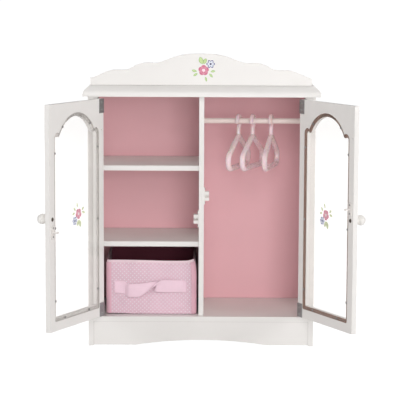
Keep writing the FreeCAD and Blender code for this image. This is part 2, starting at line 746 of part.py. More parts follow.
def build_hinge_post(side):
    """One post inside a side panel, with the fixed half of both its hinges."""
    hand = mirrored if side == "left" else Part.Shape.copy
    points = frame_screw_points(HINGE_BASES["lower"]) + frame_screw_points(HINGE_BASES["upper"])
    post = block(OPENING_X, INNER_X, FRONT_Y, FRONT_Y + POST_DEPTH, FLOOR_Z, CARCASS_TOP)
    hole_depth = HINGE_HOLE_DEPTH + DOWEL_SLACK
    post = post.cut([screw_hole(point, -X_AXIS, HINGE_SCREW_HEAD, hole_depth) for point in points])
    PARTS[f"{side}_hinge_post"] = drilled(hand(post))
    PARTS[f"{side}_hinge_pins"] = [hand(hinge_pin(base)) for base in HINGE_BASES.values()]
    for name, base in HINGE_BASES.items():
        PARTS[f"{side}_{name}_frame_leaf"] = hand(frame_leaf(base))
    return [hand(screw(point, -X_AXIS, HINGE_SCREW_HEAD, HINGE_HOLE_DEPTH)) for point in points]


def build_hinge_posts():
    """Both hinge posts and the screws that hold the fixed leaves."""
    PARTS["frame_leaf_screws"] = build_hinge_post("left") + build_hinge_post("right")


# ---- roller catches on the divider ----
def catch_screw_points(z):
    """Screw places on the catch's ears."""
    x = DIVIDER_X + CATCH_PLATE
    return [Vector(x, ROLLER_Y + 2, z + sign * CATCH_SCREW_OFFSET) for sign in (-1, 1)]


def roller_pocket(z, sign):
    """Room in a jaw for one roller, open to the mouth."""
    far_z = z + sign * (ROLLER_OFFSET + ROLLER_RADIUS + 0.2)
    reach = ROLLER_RADIUS + 0.2
    low, high = sorted((z, far_z))
    x0 = TONGUE_X - ROLLER_WIDTH / 2 - 0.3
    return block(x0, x0 + ROLLER_WIDTH + 0.4, ROLLER_Y - reach, ROLLER_Y + reach, low, high)


def catch_body(z):
    """Plastic catch with a mouth for the strike's tongue."""
    back_y = CATCH_FRONT_Y + CATCH_DEPTH
    plate_x = DIVIDER_X + CATCH_PLATE
    jaw_x = TONGUE_X + 3.4
    tall = CATCH_HALF_HEIGHT
    jaw = JAW_HALF_HEIGHT
    gap = MOUTH_HALF_HEIGHT
    plate = block(DIVIDER_X, plate_x, CATCH_FRONT_Y, back_y, z - tall, z + tall)
    jaws = block(DIVIDER_X + 1, jaw_x, CATCH_FRONT_Y, back_y, z - jaw, z + jaw)
    mouth = block(plate_x, jaw_x + 1, CATCH_FRONT_Y - 1, back_y - 2, z - gap, z + gap)
    whole = join([plate, jaws]).cut(mouth)
    for sign in (-1, 1):
        axle_start = Vector(plate_x + 0.1, ROLLER_Y, z + sign * ROLLER_OFFSET)
        axle_hole = cylinder(AXLE_RADIUS + RUNNING_CLEARANCE, axle_start, X_AXIS, PANEL)
        whole = whole.cut(roller_pocket(z, sign)).cut(axle_hole)
    for point in catch_screw_points(z):
        whole = whole.cut(screw_hole(point, X_AXIS, CATCH_SCREW_HEAD, CATCH_PLATE + 1))
    return whole


def catch_rollers(z):
    """The two rollers with their axle stubs."""
    rollers = []
    for sign in (-1, 1):
        centre_z = z + sign * ROLLER_OFFSET
        wheel_start = Vector(TONGUE_X - ROLLER_WIDTH / 2 - 0.1, ROLLER_Y, centre_z)
        axle_start = Vector(DIVIDER_X + CATCH_PLATE + 0.3, ROLLER_Y, centre_z)
        wheel = cylinder(ROLLER_RADIUS, wheel_start, X_AXIS, ROLLER_WIDTH - 0.1)
        axle = cylinder(AXLE_RADIUS, axle_start, X_AXIS, AXLE_LENGTH)
        rollers.append(join([wheel, axle]))
    return rollers


def build_catch(side, z):
    """One catch on its side of the divider, and the holes for its screws."""
    hand = mirrored if side == "left" else Part.Shape.copy
    points = catch_screw_points(z)
    holes = [hand(screw_hole(point, X_AXIS, CATCH_SCREW_HEAD, 5.5)) for point in points]
    PARTS[f"{side}_catch"] = hand(catch_body(z))
    PARTS[f"{side}_catch_rollers"] = [hand(roller) for roller in catch_rollers(z)]
    PARTS["divider"] = PARTS["divider"].cut(holes)
    return [hand(screw(point, X_AXIS, CATCH_SCREW_HEAD, 5.0)) for point in points]


def build_catches():
    """Both catches and their screws."""
    PARTS["catch_screws"] = build_catch("left", LEFT_CATCH_Z) + build_catch("right", RIGHT_CATCH_Z)


# ---- basket ----
def rounded_bin(inset, low, high):
    """A box with rounded upright corners, shrunk by an inset on every side."""
    shape = block(
        BASKET_LEFT + inset,
        BASKET_RIGHT - inset,
        BASKET_FRONT_Y + inset,
        BASKET_FRONT_Y + BASKET_DEPTH - inset,
        low,
        high,
    )
    upright_edges = [edge for edge in shape.Edges if abs(edge.Length - (high - low)) < 0.01]
    return shape.makeFillet(BASKET_CORNER - inset, upright_edges)


def build_basket():
    """Fabric basket, its stiff base and the sewn-on pull strap."""
    low = FLOOR_Z + BASKET_LIFT
    high = low + BASKET_HEIGHT
    floor = low + BASKET_WALL
    shell = rounded_bin(0, low, high).cut(rounded_bin(BASKET_WALL, floor, high + 1))
    PARTS["basket_shell"] = shell
    board = rounded_bin(BASKET_WALL + 0.5, floor, floor + BASE_BOARD_THICKNESS)
    PARTS["basket_base_board"] = board
    strap_z = low + 0.5 * BASKET_HEIGHT
    PARTS["basket_strap"] = block(
        STRAP_MIDDLE_X - STRAP_HALF_LENGTH,
        STRAP_MIDDLE_X + STRAP_HALF_LENGTH,
        BASKET_FRONT_Y - STRAP_STAND_OFF,
        BASKET_FRONT_Y - STRAP_GAP,
        strap_z - STRAP_WIDTH / 2,
        strap_z + STRAP_WIDTH / 2,
    )


# ---- hangers ----
def bar(edges, radius, start, direction):
    """A round bar along joined edges that begin at a point, heading in a direction."""
    ring = Part.Wire(Part.makeCircle(radius, start, direction))
    return Part.Wire(edges).makePipeShell([ring], True, False)


def hanger_loop():
    """Sloping shoulders, rounded tips and bottom bar, in width and drop from the rod's centre."""
    slope = HANGER_SLOPE
    tip = HANGER_TIP
    tip_centre = (HANGER_HALF - tip, -HANGER_TIP_DROP)
    shoulder = on_circle(tip_centre, tip, 90 - slope)
    crown_x = HANGER_CROWN
    crown_y = shoulder[1] + (shoulder[0] - crown_x) * math.tan(math.radians(slope))
    crown_radius = crown_x / math.sin(math.radians(slope))
    crown_centre = (0, crown_y - crown_radius * math.cos(math.radians(slope)))
    bottom = tip_centre[1] - tip
    edges = [
        flat_line((0, bottom), (tip_centre[0], bottom)),
        flat_arc((tip_centre[0], bottom), on_circle(tip_centre, tip, -12), shoulder),
        flat_line(shoulder, (crown_x, crown_y)),
        flat_arc((crown_x, crown_y), on_circle(crown_centre, crown_radius, 90), (-crown_x, crown_y)),
        flat_line((-crown_x, crown_y), (-shoulder[0], shoulder[1])),
        flat_arc(
            (-shoulder[0], shoulder[1]),
            on_circle((-tip_centre[0], tip_centre[1]), tip, 192),
            (-tip_centre[0], bottom),
        ),
        flat_line((-tip_centre[0], bottom), (0, bottom)),
    ]
    loop = bar(edges, LOOP_BAR, Vector(0, bottom, 0), X_AXIS)
    return loop, crown_centre[1] + crown_radius


def hanger_hook(crown_height):
    """Hook that goes over the rod, and the stem down to the shoulders."""
    clearance = 0.3
    radius = ROD_RADIUS + clearance + HOOK_BAR + 0.2
    centre = (0, -0.2)
    tip = on_circle(centre, radius, 200)
    leave = on_circle(centre, radius, -30)
    stem_top = (0, -17)
    bend = Part.BezierCurve()
    bend.setPoles([Vector(*leave, 0), Vector(5.0, -8.75, 0), Vector(0, -11, 0), Vector(*stem_top, 0)])
    edges = [
        flat_arc(tip, on_circle(centre, radius, 85), leave),
        bend.toShape(),
        flat_line(stem_top, (0, crown_height)),
    ]
    heading = Vector(math.cos(math.radians(110)), math.sin(math.radians(110)), 0)
    return bar(edges, HOOK_BAR, Vector(*tip, 0), heading)


def hanger(x, yaw):
    """A moulded hanger on the rod, turned a little from square."""
    loop, crown_height = hanger_loop()
    whole = join([loop, hanger_hook(crown_height)])
    whole.rotate(ORIGIN, X_AXIS, 90)
    whole.rotate(ORIGIN, Z_AXIS, 90 - yaw)
    whole.translate(Vector(x, MIDDLE_Y, ROD_Z))
    return whole


def build_hangers():
    """Three hangers on the rod."""
    for name, (x, yaw) in HANGERS.items():
        PARTS[f"hanger_{name}"] = hanger(x, yaw)


def export_parts():
    """One STEP file for every named piece or group of pieces."""
    os.makedirs("parts", exist_ok=True)
    for name, shape in PARTS.items():
        whole = Part.makeCompound(shape) if isinstance(shape, list) else shape
        whole.exportStep(os.path.join("parts", name + ".step"))


build_carcass()
build_hinge_posts()
build_door("right", RIGHT_CATCH_Z, DOOR_CENTRE_GAP + MARK_EDGE)
build_door("left", LEFT_CATCH_Z, DOOR_HINGE_X - MARK_EDGE)
build_catches()
build_basket()
build_hangers()
export_parts()
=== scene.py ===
"""Looks of a doll's wardrobe with two glazed doors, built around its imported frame.

Metres. X runs to the right, Y from front to back and Z up. Places and sizes come from the frame's
boxes; what the frame can't say is a named value below.
"""

import json
import math

import bmesh
import bpy
from mathutils import Matrix, Vector, noise


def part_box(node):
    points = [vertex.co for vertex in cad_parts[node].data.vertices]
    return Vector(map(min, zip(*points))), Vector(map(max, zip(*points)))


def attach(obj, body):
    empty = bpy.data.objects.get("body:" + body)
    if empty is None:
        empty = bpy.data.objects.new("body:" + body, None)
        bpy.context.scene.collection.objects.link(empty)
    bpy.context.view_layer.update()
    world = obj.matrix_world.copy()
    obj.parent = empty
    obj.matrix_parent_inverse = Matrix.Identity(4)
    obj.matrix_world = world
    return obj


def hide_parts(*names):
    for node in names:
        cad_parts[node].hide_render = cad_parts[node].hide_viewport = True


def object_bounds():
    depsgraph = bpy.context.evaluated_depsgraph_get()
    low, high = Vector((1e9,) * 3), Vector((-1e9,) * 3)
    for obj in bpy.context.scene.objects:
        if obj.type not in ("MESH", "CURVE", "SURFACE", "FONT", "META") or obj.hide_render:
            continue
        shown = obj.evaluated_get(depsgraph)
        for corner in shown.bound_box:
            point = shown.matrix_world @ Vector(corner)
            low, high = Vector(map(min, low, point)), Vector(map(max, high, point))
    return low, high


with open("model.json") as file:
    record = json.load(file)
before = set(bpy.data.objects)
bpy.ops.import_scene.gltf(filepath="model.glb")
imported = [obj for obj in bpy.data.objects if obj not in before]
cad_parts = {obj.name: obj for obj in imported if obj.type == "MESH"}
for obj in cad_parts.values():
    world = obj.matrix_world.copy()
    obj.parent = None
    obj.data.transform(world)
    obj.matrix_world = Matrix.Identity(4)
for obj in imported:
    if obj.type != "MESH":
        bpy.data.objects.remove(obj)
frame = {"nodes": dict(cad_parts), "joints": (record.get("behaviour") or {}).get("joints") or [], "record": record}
CAD_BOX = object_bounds()
NODES = frame["nodes"]
JOINTS = {joint["name"]: joint for joint in frame["joints"]}
BASKET_LOW, BASKET_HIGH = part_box("basket_shell")
BASKET_MIDDLE = (BASKET_LOW + BASKET_HIGH) / 2
BASKET_HEIGHT = BASKET_HIGH.z - BASKET_LOW.z
STRAP_LOW, STRAP_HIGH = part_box("basket_strap")
MM = 0.001
UP = Vector((0, 0, 1))
FRONT = Vector((0, -1, 0))
PLAIN_WHITE = (1.0, 1.0, 1.0, 1.0)

# ---- colours, as 0 to 255 values ----
COLOURS = {
    "white_paint": (242, 239, 236),
    "pink_paint": (250, 196, 203),
    "cream_paint": (254, 238, 232),
    "knob_paint": (243, 240, 236),
    "bare_board_dark": (138, 108, 96),
    "bare_board_pale": (176, 148, 134),
    "beech_pale": (214, 178, 134),
    "beech_dark": (186, 146, 102),
    "hinge_steel": (168, 167, 168),
    "screw_steel": (172, 171, 170),
    "dark_screw": (92, 84, 76),
    "catch_plastic": (240, 236, 232),
    "roller_plastic": (238, 214, 212),
    "hanger_plastic": (254, 228, 231),
    "pane_haze": (246, 244, 240),
    # The lining is a dark cloth, made darker still as painted shade for the inside of the basket.
    "lining_cloth_shade_darkened": (134, 62, 80),
    "dotted_cloth": (238, 203, 217),
    "cloth_dot": (246, 238, 242),
    "tape_cloth": (246, 196, 211),
    "hem_cloth": (250, 222, 231),
    "sewing_thread": (240, 205, 218),
    "ribbon": (255, 222, 236),
}
# Tint of the painted shade in corners and grooves: a little warm.
WARM_SHADE_TINT = (1.0, 0.985, 0.97, 1.0)

# ---- boards ----
EDGE_ROUND = 0.7 * MM
EDGE_SEGMENTS = 2
EDGE_ANGLE = 40.0
WELD_REACH = 0.002 * MM
FLAT_WEIGHT = 80
# Painted shade: paint within CREVICE_REACH of a corner or groove is darkened to CREVICE_TONE of its colour.
CREVICE_REACH = 2.0 * MM
CREVICE_TONE = 0.66
ORANGE_PEEL = 0.018 * MM
PAINT_SHINE = 0.4
PANE_FIT = 0.8 * MM
RABBET_DEPTH = 2.2 * MM
BARE_MARGIN = 0.15 * MM

# ---- basket ----
FABRIC_STEP = 4.0 * MM
CORNER_RADIUS = 8.0 * MM
CORNER_STEPS = 5
SKIN_INSET = 1.0 * MM
SKIN_THICKNESS = 0.6 * MM
WALL = 2.5 * MM
LINING_THICKNESS = 0.4 * MM
HEM_HEIGHT = 5.0 * MM
HEM_PROUD = 0.5 * MM
# The pale front hem ends where the rim's outward direction has this share along Y; the rest of the hem is darkened
# as painted shade.
HEM_TURN = -0.5
BINDING_LAP = 2.0 * MM
BINDING_PROUD = 0.45 * MM
# The sag and the lift are each centred on a share of the front's width and fade over another share.
FRONT_SAG = 1.6 * MM
SAG_CENTRE, SAG_SPREAD = 0.72, 0.3
LIFT_CENTRE, LIFT_SPREAD = 0.1, 0.16
CORNER_PEAK = 3.2 * MM
CORNER_REACH = 9.0 * MM
RIGHT_LEAN = 3.6 * MM
LEAN_HEIGHT = 30.0 * MM
FOOT_LIFT = 1.3 * MM
FRONT_REACH = 40.0 * MM
RIPPLE = 0.45 * MM
RIPPLE_SPACING = 28.0 * MM
OUTWARD_CAP = 0.85 * MM
INWARD_CAP = 0.5 * MM
CLOTH_FRAMES = 20
CLOTH_QUALITY = 8
CLOTH_MASS = 0.02
CLOTH_SLACK = 0.014
CLOTH_STRETCH = 12
CLOTH_BEND = 0.4
CLOTH_GRAVITY = 0.5
DOT_SPACING = 7.4 * MM
DOT_RADIUS = 1.1 * MM
DOT_STRENGTH = 0.72
THREAD = 0.55 * MM
SEWING_THREAD = 0.3 * MM
RIB_SPACING = 0.9 * MM
# Cloth coordinate, in metres, at which the ring of cloth under the basket ends.
UNDERSIDE_RUN = 1.0
STITCH_LENGTH = 2.3 * MM
STITCH_PITCH = 3.5 * MM
STITCH_RADIUS = 0.22 * MM
STITCH_FLATNESS = 0.8
STITCH_LIFT = 0.5
# Rings along a stitch: share of its length from the middle, and share of its thickness.
STITCH_RINGS = ((-0.5, 0.35), (-0.3, 1.0), (0.3, 1.0), (0.5, 0.35))
BINDING_STEPS = 24
LINING_STEPS = 16

# ---- pull strap: places of its two edges at a share of its run ----
# Each edge is (share of the strap's length across the basket, height in mm, stand-off in mm). The first
# edge starts at the top and passes behind, the second starts at the bottom and passes in front.
STRAP_PATH = [
    (0.00, (0.0, 12.0, 1.2), (0.0, -10.8, 1.2)),
    (0.09, (0.090, 11.2, 1.2), (0.090, -12.3, 1.2)),
    (0.14, (0.146, 10.4, 1.2), (0.146, -13.6, 1.2)),
    (0.17, (0.172, 6.6, 2.4), (0.166, -17.2, 2.4)),
    (0.22, (0.212, 6.6, 4.4), (0.202, -17.9, 4.6)),
    (0.32, (0.340, 7.2, 4.6), (0.315, -18.0, 5.6)),
    (0.40, (0.445, 8.6, 3.8), (0.365, -15.9, 7.0)),
    (0.47, (0.550, 10.8, 2.8), (0.420, -11.0, 8.2)),
    (0.53, (0.628, 10.2, 1.8), (0.474, -4.9, 8.8)),
    (0.58, (0.618, 3.0, 1.7), (0.535, 3.2, 8.6)),
    (0.63, (0.560, -4.4, 1.7), (0.600, 10.2, 7.4)),
    (0.69, (0.560, -8.8, 1.9), (0.672, 14.3, 6.0)),
    (0.78, (0.700, -9.4, 3.4), (0.765, 14.4, 4.8)),
    (0.90, (0.880, -9.7, 2.6), (0.895, 13.4, 2.9)),
    (0.96, (0.958, -10.0, 1.2), (0.958, 12.6, 1.2)),
    (1.00, (1.0, -10.2, 1.2), (1.0, 12.3, 1.2)),
]
STRAP_STEPS = 150
STRAP_ACROSS = 12
STRAP_THICKNESS = 0.7 * MM
STRAP_SEAMS = ((0.015, 0.12), (0.965, 0.99))
SEAM_EDGE = 0.86
SEAM_STEPS = 8

# ---- flower prints ----
PRINT_GAP = 0.02 * MM
INK_STEP = 0.03 * MM
ROSE_RADIUS = 9.4 * MM
BELL_RADIUS = 7.6 * MM
BELL_PLACE = (12.5 * MM, 11.3 * MM)
CREST_ROSE_X = 3.0 * MM
CREST_ROSE_RISE = 27.0 * MM
PANE_ROSE_SHIFT = {"left": 4.0 * MM, "right": 2.0 * MM}
PANE_PRINT_GAP = 0.3 * MM
# Each leaf: where it starts beside the rose (mm), its direction (degrees), length and width (mm).
LEAVES = [
    (-1.5, 11.0, 112.0, 14.0, 9.0),
    (0.5, 11.0, 68.0, 11.0, 7.0),
    (-12.0, -2.0, 165.0, 9.5, 5.0),
    (-11.0, -5.0, 215.0, 9.0, 4.5),
    (12.5, -2.5, 8.0, 8.5, 4.5),
    (10.0, -6.0, -48.0, 9.0, 4.5),
    (3.0, -11.5, -75.0, 9.0, 4.0),
]

# Each plate of petals: radius, petals, notch, turn (radians), place, layer and number of its ink.
PETALS = [
    (BELL_RADIUS, 6, 0.42, 0.0, BELL_PLACE, 3, 2),
    (BELL_RADIUS * 0.8, 6, 0.5, 0.0, BELL_PLACE, 4, 3),
    (BELL_RADIUS * 0.26, 5, 0.2, 0.0, BELL_PLACE, 5, 4),
    (ROSE_RADIUS, 5, 0.2, 0.3, (0, 0), 5, 5),
    (ROSE_RADIUS * 0.8, 5, 0.25, 0.9, (0, 0), 6, 6),
    (ROSE_RADIUS * 0.52, 5, 0.3, 0.3, (0, 0), 7, 5),
    (ROSE_RADIUS * 0.34, 5, 0.2, 0.9, (0, 0), 8, 7),
]
# Each ink: its colour on the crest and its paler one on the panes.
INKS = {
    "leaf_edge": ((160, 196, 122), (214, 226, 170)),
    "leaf": ((205, 226, 160), (232, 240, 204)),
    "outline": ((72, 76, 142), (138, 146, 196)),
    "petal": ((236, 238, 248), (232, 236, 246)),
    "eye": ((40, 38, 92), (84, 92, 150)),
    "rose": ((214, 116, 146), (232, 150, 172)),
    "rose_light": ((226, 146, 168), (242, 184, 198)),
    "rose_heart": ((254, 226, 234), (255, 236, 240)),
}

# ---- camera and light: each lamp has a name, place, size in metres, power in watts and colour ----
CAMERA_PLACE = (-0.0025, -3.3025, 0.664)
CAMERA_PITCH = 7.25
CAMERA_ROLL = 0.24
CAMERA_LENS = 157.05
SENSOR = 36.0
WORLD_STRENGTH = 0.22
FLOOR_SIZE = 400.0
FLOOR_TONES = (0.80, 0.83)
FLOOR_GLOW = 1.28
FLOOR_GLOW_SHARE = 0.8
LIGHTS = [
    ("key", (0.5, -3.4, 0.5), 1.2, 27.0, (1.0, 0.995, 0.99)),
    ("upper", (0.2, -3.0, 1.7), 1.2, 16.0, (1.0, 0.995, 0.99)),
    ("right", (2.7, -1.8, 0.9), 1.2, 26.0, (1.0, 1.0, 1.0)),
    ("left", (-2.7, -1.8, 0.9), 1.2, 20.0, (1.0, 1.0, 1.0)),
    ("rear_right", (1.8, 3.0, 1.6), 1.4, 30.0, (1.0, 1.0, 1.0)),
    ("rear_left", (-1.8, 3.0, 1.6), 1.4, 30.0, (1.0, 1.0, 1.0)),
    ("top", (0.0, 0.8, 3.0), 1.4, 16.0, (1.0, 1.0, 1.0)),
]


# ---- colours ----
def srgb(values):
    """A colour given as 0 to 255 values, as a linear RGBA tuple."""
    channels = []
    for value in values:
        share = value / 255
        linear = share / 12.92 if share <= 0.04045 else ((share + 0.055) / 1.055) ** 2.4
        channels.append(linear)
    return (*channels, 1.0)


def hue(name):
    """A colour of the table by its name."""
    return srgb(COLOURS[name])


def shaded(colour, factor):
    """A colour made lighter or darker."""
    return (colour[0] * factor, colour[1] * factor, colour[2] * factor, 1.0)


# ---- material wiring ----
class Finish:
    """One procedural material, wired step by step."""

    def __init__(self, name):
        self.material = bpy.data.materials.new(name)
        self.material.use_nodes = True
        self.tree = self.material.node_tree
        self.tree.nodes.clear()
        coordinates = self.tree.nodes.new("ShaderNodeTexCoord")
        self.place = coordinates.outputs["Object"]
        self.cloth_place = coordinates.outputs["UV"]

    def put(self, socket, value):
        """Links or sets one input."""
        if isinstance(value, bpy.types.NodeSocket):
            self.tree.links.new(value, socket)
        else:
            socket.default_value = value

    def node(self, kind, settings=None, values=(), **inputs):
        """A node with its settings, its first inputs in order and its named inputs."""
        made = self.tree.nodes.new(kind)
        for key, value in (settings or {}).items():
            setattr(made, key, value)
        for index, value in enumerate(values):
            self.put(made.inputs[index], value)
        for key, value in inputs.items():
            self.put(made.inputs[key.replace("_", " ")], value)
        return made

    def maths(self, operation, *values):
        """A maths node's result."""
        return self.node("ShaderNodeMath", {"operation": operation}, values).outputs[0]

    def vector(self, operation, *values):
        """A vector maths node's result, which is a number for a length or a dot product."""
        made = self.node("ShaderNodeVectorMath", {"operation": operation}, values)
        return made.outputs["Value" if operation in ("LENGTH", "DOT_PRODUCT") else "Vector"]

    def stretched(self, scale):
        """The coordinates scaled differently along each axis."""
        return self.vector("MULTIPLY", self.place, scale)

    def cloudy(self, scale, detail=2.0, place=None):
        """Noise between 0 and 1."""
        made = self.node("ShaderNodeTexNoise", Vector=place or self.place, Scale=scale, Detail=detail)
        return made.outputs["Fac"]

    def ramp(self, value, low, high, start=0.0, end=1.0):
        """A value carried from one range to another, clamped."""
        made = self.node(
            "ShaderNodeMapRange", Value=value, From_Min=low, From_Max=high, To_Min=start, To_Max=end
        )
        return made.outputs["Result"]

    def blend(self, share, first, second):
        """A colour between two colours."""
        made = self.node("ShaderNodeMix", {"data_type": "RGBA"})
        self.put(made.inputs[0], share)
        self.put(made.inputs[6], first)
        self.put(made.inputs[7], second)
        return made.outputs[2]

    def hollow(self, reach):
        """1 in the open, less in corners and grooves within reach."""
        return self.node("ShaderNodeAmbientOcclusion", {"samples": 4}, Distance=reach).outputs["AO"]

    def bump(self, height, depth):
        """A normal from a height that is worth a depth in metres."""
        return self.node("ShaderNodeBump", Strength=1.0, Distance=depth, Height=height).outputs[0]

    def surface(self, colour, roughness, normal, **extra):
        """Ends the tree with a Principled surface."""
        made = self.node(
            "ShaderNodeBsdfPrincipled", Base_Color=colour, Roughness=roughness, Normal=normal, **extra
        )
        return self.close(made.outputs["BSDF"])

    def mixed(self, share, first, second):
        """A shader node between two shader nodes."""
        return self.node("ShaderNodeMixShader", values=(share, first.outputs[0], second.outputs[0]))

    def close(self, shader):
        """Connects the last shader to the output."""
        end = self.tree.nodes.new("ShaderNodeOutputMaterial")
        self.tree.links.new(shader, end.inputs["Surface"])
        return self.material


# ---- paints ----
def painted_colour(finish, colour):
    """Paint that is a little uneven, with painted shade, slightly warm, darkening its corners and grooves."""
    patches = finish.ramp(finish.cloudy(9.0, 3.0), 0.3, 0.7)
    even = finish.blend(patches, shaded(colour, 0.975), shaded(colour, 1.01))
    # Painted shade: an occlusion mask darkens the paint in corners and grooves.
    painted_shade = tuple(tone * tint for tone, tint in zip(shaded(colour, CREVICE_TONE), WARM_SHADE_TINT))
    return finish.blend(finish.ramp(finish.hollow(CREVICE_REACH), 0.4, 0.9), painted_shade, even)


def spray_bump(finish, depth):
    """The fine orange peel of sprayed paint over a long, faint waviness."""
    peel = finish.cloudy(900.0, 2.0)
    wave = finish.cloudy(55.0, 1.0)
    height = finish.maths("MULTIPLY_ADD", wave, 2.5, peel)
    return finish.bump(height, depth)


def sprayed_paint(name, colour, roughness=0.4, depth=ORANGE_PEEL):
    """Satin sprayed paint on board."""
    finish = Finish(name)
    rough = finish.ramp(finish.cloudy(38.0, 3.0), 0.3, 0.7, roughness - 0.05, roughness + 0.07)
    return finish.surface(
        painted_colour(finish, colour), rough, spray_bump(finish, depth), Specular_IOR_Level=PAINT_SHINE
    )


def span(node, direction):
    """How far a CAD node reaches along a direction."""
    shares = [vertex.co.dot(direction) for vertex in NODES[node].data.vertices]
    return min(shares), max(shares)


def door_axes(side):
    """Directions across an open door, away from its hinge, and out of its back."""
    joint = JOINTS[f"{side}_door_swing"]
    opened = Matrix.Rotation(math.radians(-joint["range_deg"][0]), 3, Vector(joint["axis"]))
    inward = Vector((1 if side == "left" else -1, 0, 0))
    return opened @ inward, opened @ Vector((0, 1, 0))


def rabbet_mask(finish, side):
    """1 on the walls and ledge of one door's rabbet, which the paint doesn't reach."""
    across, out = door_axes(side)
    pane = f"{side}_door_pane"
    back = span(f"{side}_door_frame", out)[1]
    limits = [
        (out, back - RABBET_DEPTH - BARE_MARGIN, back - BARE_MARGIN),
        (across, span(pane, across)[0] - PANE_FIT, span(pane, across)[1] + PANE_FIT),
        (UP, span(pane, UP)[0] - PANE_FIT, span(pane, UP)[1] + PANE_FIT),
    ]
    mask = 1.0
    for direction, low, high in limits:
        place = finish.vector("DOT_PRODUCT", finish.place, tuple(direction))
        mask = finish.maths("MULTIPLY", mask, finish.maths("GREATER_THAN", place, low))
        mask = finish.maths("MULTIPLY", mask, finish.maths("LESS_THAN", place, high))
    return mask


def part_painted_door(name, side):
    """White paint on a door whose rabbet is left as bare fibreboard."""
    finish = Finish(name)
    fibres = finish.cloudy(1500.0, 4.0)
    bare = finish.blend(fibres, hue("bare_board_dark"), hue("bare_board_pale"))
    mask = rabbet_mask(finish, side)
    colour = finish.blend(mask, painted_colour(finish, hue("white_paint")), bare)
    rough = finish.ramp(mask, 0.0, 1.0, 0.42, 0.85)
    return finish.surface(colour, rough, spray_bump(finish, ORANGE_PEEL), Specular_IOR_Level=PAINT_SHINE)


def grained_paint(name, colour, roughness):
    """Thin paint on wood turned or planed along X, whose grain still shows a little."""
    finish = Finish(name)
    grain = finish.cloudy(1.0, 4.0, finish.stretched((30.0, 900.0, 900.0)))
    tone = finish.blend(grain, shaded(colour, 0.95), shaded(colour, 1.02))
    return finish.surface(tone, roughness, finish.bump(grain, 0.04 * MM), Specular_IOR_Level=PAINT_SHINE)


def bare_wood(name, pale, dark):
    """Bare beech with short darker flecks."""
    finish = Finish(name)
    grain = finish.cloudy(1.0, 5.0, finish.stretched((160.0, 1400.0, 1400.0)))
    fleck = finish.ramp(finish.cloudy(1.0, 2.0, finish.stretched((400.0, 3000.0, 3000.0))), 0.6, 0.72)
    tone = finish.blend(fleck, finish.blend(grain, pale, dark), shaded(dark, 0.7))
    return finish.surface(tone, 0.7, finish.bump(grain, 0.05 * MM))


# ---- metals, plastics and pane ----
def drawn_metal(name, colour, roughness):
    """Pressed steel with fine upright scratches and dull patches."""
    finish = Finish(name)
    lines = finish.cloudy(1.0, 3.0, finish.stretched((3500.0, 3500.0, 120.0)))
    dull = finish.cloudy(160.0, 3.0)
    tone = finish.blend(dull, shaded(colour, 0.78), shaded(colour, 1.12))
    rough = finish.ramp(finish.maths("ADD", lines, dull), 0.6, 1.4, roughness - 0.08, roughness + 0.14)
    return finish.surface(tone, rough, finish.bump(lines, 0.012 * MM), Metallic=0.85)


def moulded(name, colour, roughness, coat=0.0, depth_of_light=0.0):
    """Moulded plastic with faint flow marks and a fine tooling texture."""
    finish = Finish(name)
    flow = finish.cloudy(70.0, 2.0)
    tone = finish.blend(flow, shaded(colour, 0.95), shaded(colour, 1.03))
    rough = finish.ramp(finish.cloudy(320.0, 2.0), 0.3, 0.7, roughness - 0.05, roughness + 0.08)
    normal = finish.bump(finish.cloudy(650.0, 2.0), 0.02 * MM)
    coating = {"Coat_Weight": coat, "Coat_Roughness": 0.12}
    depth = {"Subsurface_Weight": depth_of_light, "Subsurface_Scale": 2.0 * MM}
    return finish.surface(tone, rough, normal, **coating, **depth)


def clear_sheet(name):
    """Polished acrylic: clear, with a thin reflection and a few faint smears."""
    finish = Finish(name)
    smear = finish.ramp(finish.cloudy(1.0, 4.0, finish.stretched((14.0, 14.0, 5.0))), 0.45, 0.75)
    rough = finish.ramp(smear, 0.0, 1.0, 0.02, 0.11)
    gloss = finish.node("ShaderNodeBsdfGlossy", Color=PLAIN_WHITE, Roughness=rough)
    haze = finish.node("ShaderNodeBsdfDiffuse", Color=hue("pane_haze"))
    tint = finish.node("ShaderNodeBsdfTransparent", Color=(0.985, 0.98, 0.975, 1.0))
    clouded = finish.mixed(finish.ramp(smear, 0.0, 1.0, 0.006, 0.03), tint, haze)
    edge = finish.node("ShaderNodeFresnel", IOR=1.35)
    path = finish.node("ShaderNodeLightPath")
    side = finish.node("ShaderNodeNewGeometry")
    hidden = finish.maths("MAXIMUM", path.outputs["Is Shadow Ray"], side.outputs["Backfacing"])
    share = finish.maths("MULTIPLY", edge.outputs[0], finish.maths("SUBTRACT", 1.0, hidden))
    return finish.close(finish.mixed(share, clouded, gloss).outputs[0])


# ---- fabrics ----
def woven_height(finish, thread):
    """Over-and-under threads of a plain weave, from cloth coordinates in metres."""
    turns = math.pi / thread
    split = finish.node("ShaderNodeSeparateXYZ", Vector=finish.cloth_place)
    warp = finish.maths("SINE", finish.maths("MULTIPLY", split.outputs[0], turns))
    weft = finish.maths("SINE", finish.maths("MULTIPLY", split.outputs[1], turns))
    return finish.maths("MULTIPLY_ADD", finish.maths("MULTIPLY", warp, weft), 0.5, 0.5)


def dot_mask(finish):
    """1 inside small dots set in staggered rows."""
    cells = finish.vector("DIVIDE", finish.cloth_place, (DOT_SPACING, DOT_SPACING, 1.0))
    nearest = 1.0
    for shift in (0.0, 0.5):
        moved = finish.vector("ADD", cells, (shift, shift, 0.0))
        offset = finish.vector("SUBTRACT", finish.vector("FRACTION", moved), (0.5, 0.5, 0.0))
        nearest = finish.maths("MINIMUM", nearest, finish.vector("LENGTH", offset))
    edge = DOT_RADIUS / DOT_SPACING
    return finish.ramp(nearest, edge * 0.8, edge * 1.2, 1.0, 0.0)


